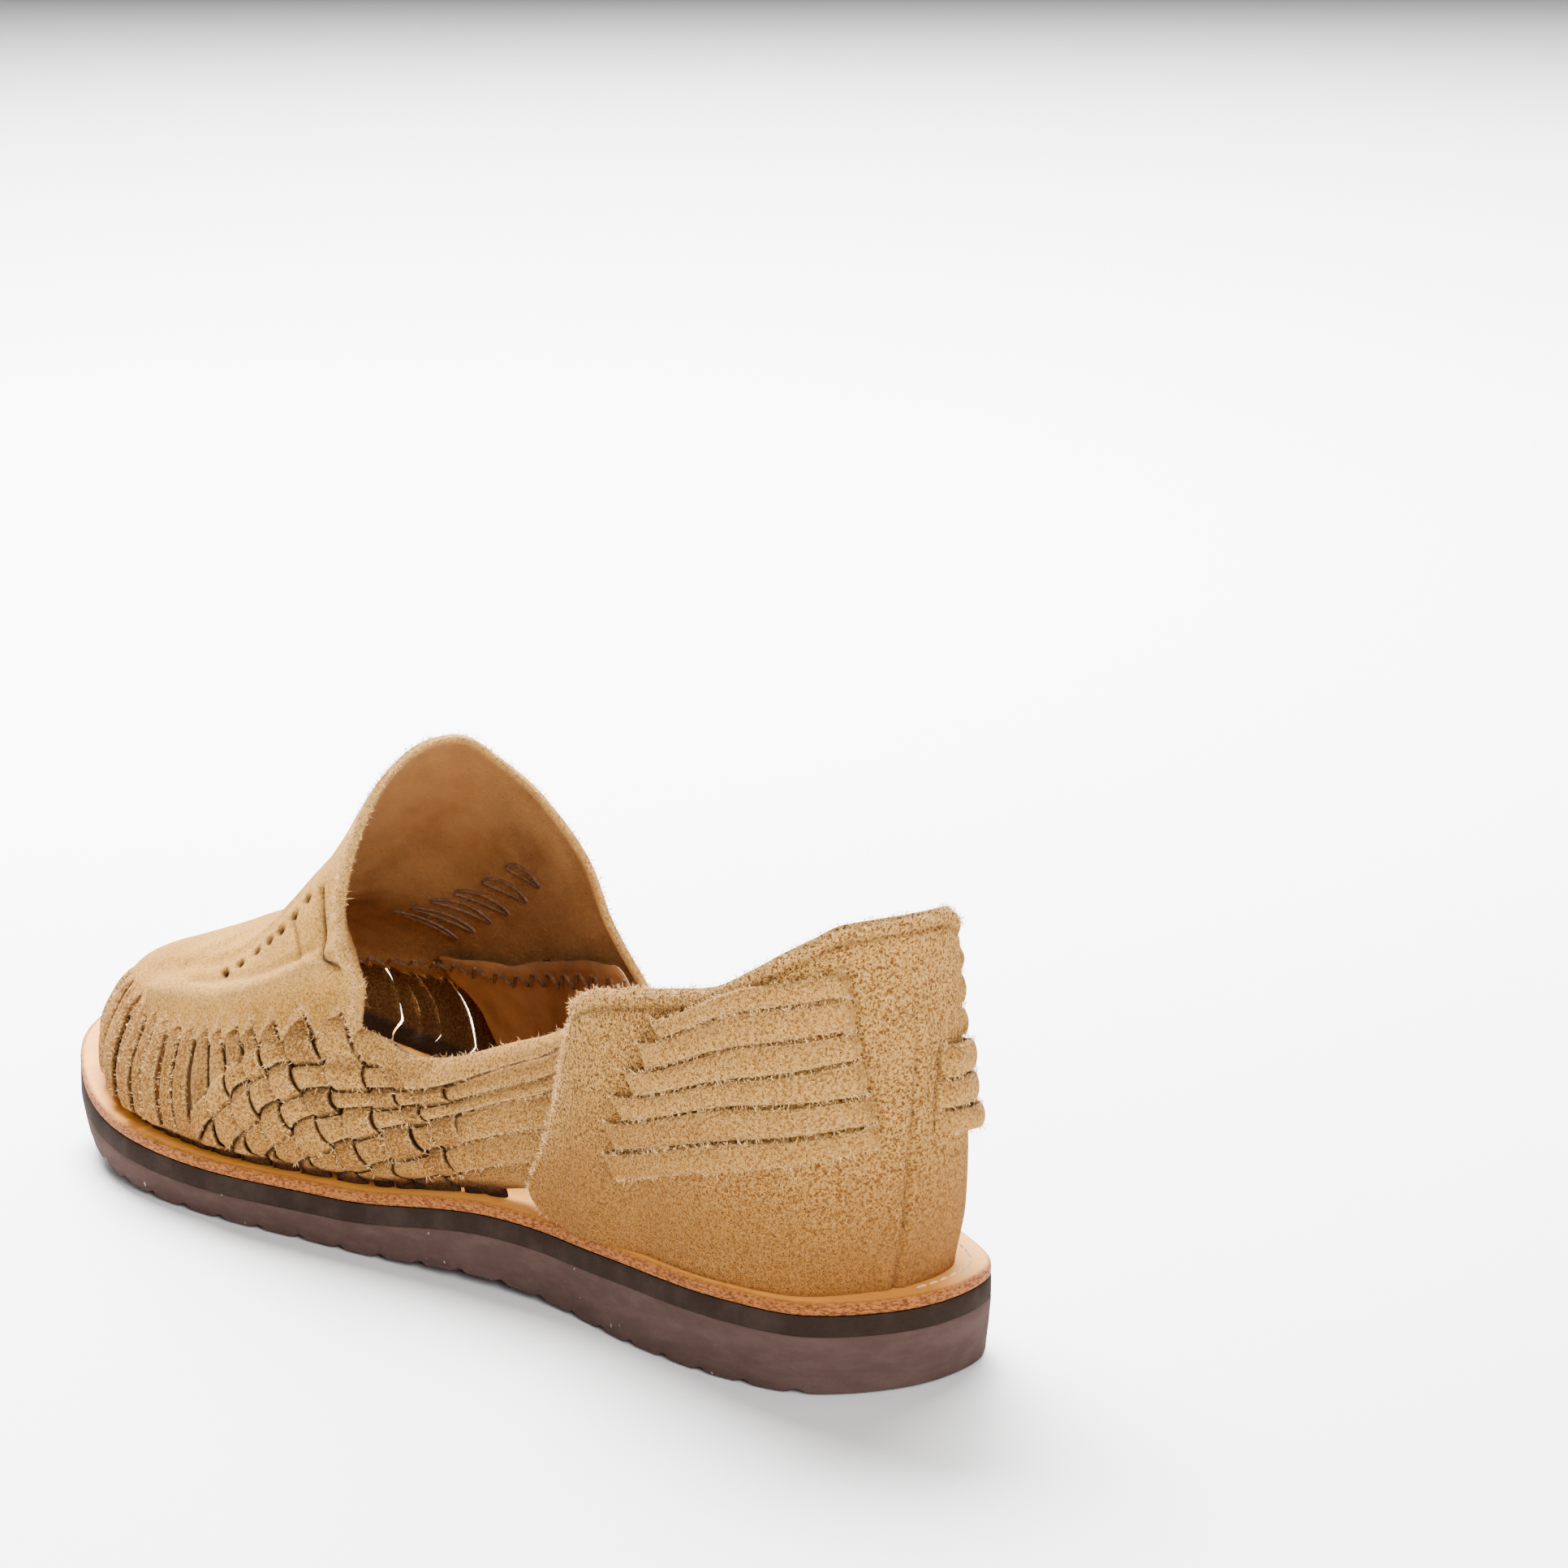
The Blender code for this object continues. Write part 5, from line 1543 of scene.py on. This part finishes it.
def counter_strap(parcel, side, k):
    jitter = wobble_rng.normal(0, 1, 3)
    t, h, lift = (across_section(len(run_share)) for _ in range(3))
    width = 0.5 - STRAP_GAP - 0.02 * np.sin(run_share * 9 + jitter[0])
    bow = 0.0009 + (0.0007 + 0.0010 * (k == 0)) * np.sin(np.pi * run_share)
    bow = bow + 0.0003 * np.sin(run_share * 8 + jitter[1])
    bow = bow * (SHORT_BOW if is_short(side, k) else 1.0)
    for j, v in enumerate(ACROSS):
        front, rear = slot_places(side, k, v)
        own = front + (rear - front) * run_share
        t[:, j], h[:, j] = mirrored(side, own), strap_height(k, 0.5 + v * width, own)
        lift[:, j] = standoff(own) + bow * (1 - dive) - STRAP_DIVE * dive
    lay(parcel, t, h, lift, tone=0.40 + wobble_rng.uniform(-0.3, 0.15))


straps = Parcel()
for side in (1, -1):
    for k in range(STRAPS):
        counter_strap(straps, side, k)
straps.build("counter_straps", strip_suede, "heel_counter", ["heel_counter"])

# %% [markdown]
# ## Inside the upper
#
# Seen from behind, the inside of the vamp shows where the strips were laced in:
# narrow loops in a fan, and a zigzag row along the vamp's lower edge. Below it
# a smooth band lines the collar and hides the tops of the strips.

# %% Laces inside the vamp
LACES = (
    # left end (place round, height), right end
    ((0.6335, 0.822), (0.6485, 0.589)), ((0.6430, 0.812), (0.6604, 0.588)),
    ((0.6530, 0.790), (0.6720, 0.587)), ((0.6640, 0.745), (0.6845, 0.575)),
    ((0.6790, 0.702), (0.6985, 0.570)), ((0.6940, 0.672), (0.7110, 0.590)),
)
ZIGZAG = (
    # place round, height
    (0.560, 0.440), (0.592, 0.465), (0.615, 0.485), (0.638, 0.480), (0.658, 0.445),
    (0.679, 0.400), (0.710, 0.385), (0.738, 0.395), (0.765, 0.385),
)
LACE_LIFT, LACE_RADIUS, LACE_ROUND, LACE_HIGH = -0.0016, 0.00036, 0.0016, 0.0070
ROW_LIFT, ROW_RADIUS, ROW_SLANT, ROW_HALF = -0.0042, 0.00042, 0.0022, 0.017
ROW_STITCHES, OUTER_ROW_STOP = 34, 0.69
laces = Parcel()
turn = np.linspace(0, 2 * np.pi, 25)
for left, right in np.array(LACES):
    (middle_t, middle_h), (across_t, across_h) = (left + right) / 2, (right - left) / 2
    t = middle_t + across_t * np.cos(turn) + LACE_ROUND * np.sin(turn)
    h = middle_h + across_h * np.cos(turn) + LACE_HIGH * np.sin(turn)
    thread(laces, on_last(t, h, LACE_LIFT), LACE_RADIUS, 5)


def row_height(t):
    """Height of the zigzag row at places on the inner side."""
    return through(t, column(ZIGZAG, 0), column(ZIGZAG, 1))


def on_side(side, t):
    """A place of the inner side, or the one across from it."""
    return t if side < 0 else 2 * TOE_T - t


for side in (1, -1):
    for n, place in enumerate(np.linspace(ZIGZAG[0][0], ZIGZAG[-1][0], ROW_STITCHES)):
        if side > 0 and place > OUTER_ROW_STOP:
            continue
        slant = ROW_SLANT if n % 2 else -ROW_SLANT
        t = place + np.linspace(-slant, slant, 7)
        h = row_height(place) + np.linspace(-ROW_HALF, ROW_HALF, 7)
        thread(laces, on_last(on_side(side, t), h, ROW_LIFT), ROW_RADIUS, 5)
laces.build("inside_laces", lace_leather.material, "upper")

# %% [markdown]
# The band's top edge follows the collar and, past the vamp's corner, the zigzag
# row, so that the strips' ends stay behind it.

# %% Band inside the collar
BAND_BACK, BAND_FRONT, BAND_ROWS = 0.30, 0.760, 24
BAND_LIFT, BAND_THICK = -0.0031, 0.0008
OVER_ROW, UNDER_COLLAR = 0.041, 0.006
PAST_CORNER = {1: 0.03, -1: 0.0}
band = Parcel()
for side in (1, -1):
    along = np.linspace(BAND_BACK, BAND_FRONT, 150)
    place = way_round(side, along)
    low_edge = 0.03 + 0.34 * smooth(along, BAND_FRONT - 0.055, BAND_FRONT)
    high_edge = collar_height(side, np.minimum(along, corner(side))) - UNDER_COLLAR
    delay = PAST_CORNER[side]
    past = smooth(along, corner(side) - 0.02 + delay, corner(side) + 0.01 + delay)
    over_row = row_height(on_side(side, place)) + OVER_ROW
    high_edge = high_edge * (1 - past) + over_row * past
    band_share = np.linspace(0, 1, BAND_ROWS)
    band_h = low_edge[:, None] + (high_edge - low_edge)[:, None] * band_share[None]
    band_t = np.repeat(place[:, None], BAND_ROWS, 1)
    ripple = 0.0002 * np.sin(band_t * 260) * np.sin(band_h * 40)
    sheet_solid(band, band_t, band_h, BAND_LIFT + ripple, BAND_THICK)
band.build("collar_band", inside.material, "upper", (), 60)

# %% [markdown]
# ## Loose fibres
#
# Cut suede never ends in a clean line: single fibres stand off every edge. Each
# one here is a thin tapered sliver that starts on an edge of a finished piece,
# and all of them are one joined mesh.

# %% Fibres along the edges
FUZZY = (
    # piece, fibres, length
    ("woven_strips", 8000, 0.0010), ("counter_straps", 4000, 0.0010),
    ("heel_counter_shell", 4200, 0.0009), ("vamp_and_tongue", 7000, 0.0010),
)
FIBRE_HALF, SPREAD, KINK = 0.00008, 0.0002, 0.55
rng = np.random.default_rng(29)


def stored(mesh, name):
    """The values of a mark, or zeros where the mesh has none of that name."""
    values = np.zeros(len(mesh.vertices))
    if name in mesh.attributes:
        mesh.attributes[name].data.foreach_get("value", values)
    return values


def vectors(mesh, name):
    values = np.zeros(3 * len(mesh.vertices))
    mesh.vertices.foreach_get(name, values)
    return values.reshape(-1, 3)


def unit(vector):
    return vector / np.linalg.norm(vector, axis=1)[:, None]


fuzz = Parcel()
for name, wanted, reach in FUZZY:
    mesh = bpy.data.objects[name].data
    cut_edges = np.flatnonzero((stored(mesh, "edge") > 0.75) & (stored(mesh, "inner") < 0.5))
    chosen = rng.choice(cut_edges, wanted)
    root = vectors(mesh, "co")[chosen] + rng.normal(0, SPREAD, (wanted, 3))
    way = unit(vectors(mesh, "normal")[chosen] + rng.normal(0, 0.6, (wanted, 3)))
    bend = rng.normal(0, 0.45, (wanted, 3))
    size = reach * rng.uniform(0.35, 1.3, (wanted, 1)) ** 1.4
    half = FIBRE_HALF * unit(np.cross(way, rng.normal(0, 1, (wanted, 3))))
    middle = root + way * size * KINK
    tip = root + (way + bend * 0.6) * size
    points = [root - half, root + half, middle + half * 0.8, middle - half * 0.8, tip]
    start = np.arange(wanted)[:, None] * len(points)
    faces = (start + [0, 1, 2, 3]).tolist() + (start + [3, 2, 4]).tolist()
    fuzz.add(np.stack(points, axis=1), faces)
fuzz.build("suede_fibres", fibre_finish.material, "upper")

# %% [markdown]
# ## Camera, floor and light
#
# The camera stands behind the heel on the outer side, at the photograph's
# angle and distance, with a long lens.

# %% Camera
AZIMUTH, ELEVATION, ROLL = (math.radians(v) for v in (143.68, 12.64, -0.10))
DISTANCE, PAN, TILT, FOCAL, PIXELS = 1.62274, 0.05751, 0.09909, 9002.48, 1932
back = np.array([math.sin(AZIMUTH) * math.cos(ELEVATION),
                 -math.cos(AZIMUTH) * math.cos(ELEVATION), math.sin(ELEVATION)])


def looking(back):
    """Right, up and back of something that looks the other way."""
    right = np.cross([0, 0, 1], back)
    right /= np.linalg.norm(right)
    return right, np.cross(back, right), back


right, up, _ = looking(back)
place = DISTANCE * back + PAN * right + TILT * up - np.array([MIDDLE_X, 0, 0])
turned_right = right * math.cos(ROLL) + up * math.sin(ROLL)
turned_up = up * math.cos(ROLL) - right * math.sin(ROLL)
lens = bpy.data.cameras.new("camera")
lens.sensor_width, lens.lens = 36, 36 * FOCAL / PIXELS
lens.clip_start, lens.clip_end = 0.05, 20
camera = bpy.data.objects.new("camera", lens)
axes = np.column_stack([turned_right, turned_up, back])
camera.matrix_world = Matrix([[*axes[k], place[k]] for k in range(3)] + [[0, 0, 0, 1]])
bpy.context.scene.collection.objects.link(camera)
bpy.context.scene.camera = camera
print("lens", round(lens.lens, 1), "mm, camera at", np.round(place, 3))

# %% [markdown]
# The floor is a plain white sheet that keeps a soft shadow under the sole.

# %% Floor
floor_finish = Finish("floor_white", Roughness=0.6)
haze = floor_finish.noise(0.5, 2)
floor_finish.feed("Base Color", floor_finish.mix((0.93,) * 3, (0.90,) * 3, haze))
floor_mesh = bpy.data.meshes.new("floor")
floor_mesh.from_pydata([(-4, -4, 0), (4, -4, 0), (4, 4, 0), (-4, 4, 0)], [], [(0, 1, 2, 3)])
floor_mesh.materials.append(floor_finish.material)
floor = bpy.data.objects.new("floor", floor_mesh)
floor.location.z = -0.0002
bpy.context.scene.collection.objects.link(floor)
print("floor", round(-floor.location.z * 1000, 1), "mm below the sole")

# %% [markdown]
# A white world fills every shadow with even light. Of the three soft lamps, the
# key stands in front of the toe and above it, so that the near side falls off
# gently. The fill lights that side from behind the camera, and the third keeps
# the floor behind the shoe white.

# %% Light
world = bpy.data.worlds.new("studio")
world.use_nodes = True
background = world.node_tree.nodes["Background"]
background.inputs["Color"].default_value = (1.0, 1.0, 1.0, 1)
background.inputs["Strength"].default_value = 0.38
bpy.context.scene.world = world


def lamp(name, position, size, power):
    """A round soft lamp that faces the shoe."""
    data = bpy.data.lights.new(name, "AREA")
    data.shape, data.size, data.energy = "DISK", size, power
    made = bpy.data.objects.new(name, data)
    made.location = position
    axes = looking(position / np.linalg.norm(position))
    made.rotation_euler = Matrix(np.column_stack(axes).tolist()).to_euler()
    bpy.context.scene.collection.objects.link(made)
    print(name, "lamp,", power, "W")


overhead = np.array([0, 0, 1.0])
lamp("key", 1.25 * overhead - 0.25 * right - 0.85 * back, 0.8, 112)
lamp("fill", 0.35 * overhead + 0.45 * right + 1.5 * back, 0.8, 36)
lamp("far_floor", 1.5 * overhead - 1.6 * back, 1.8, 150)
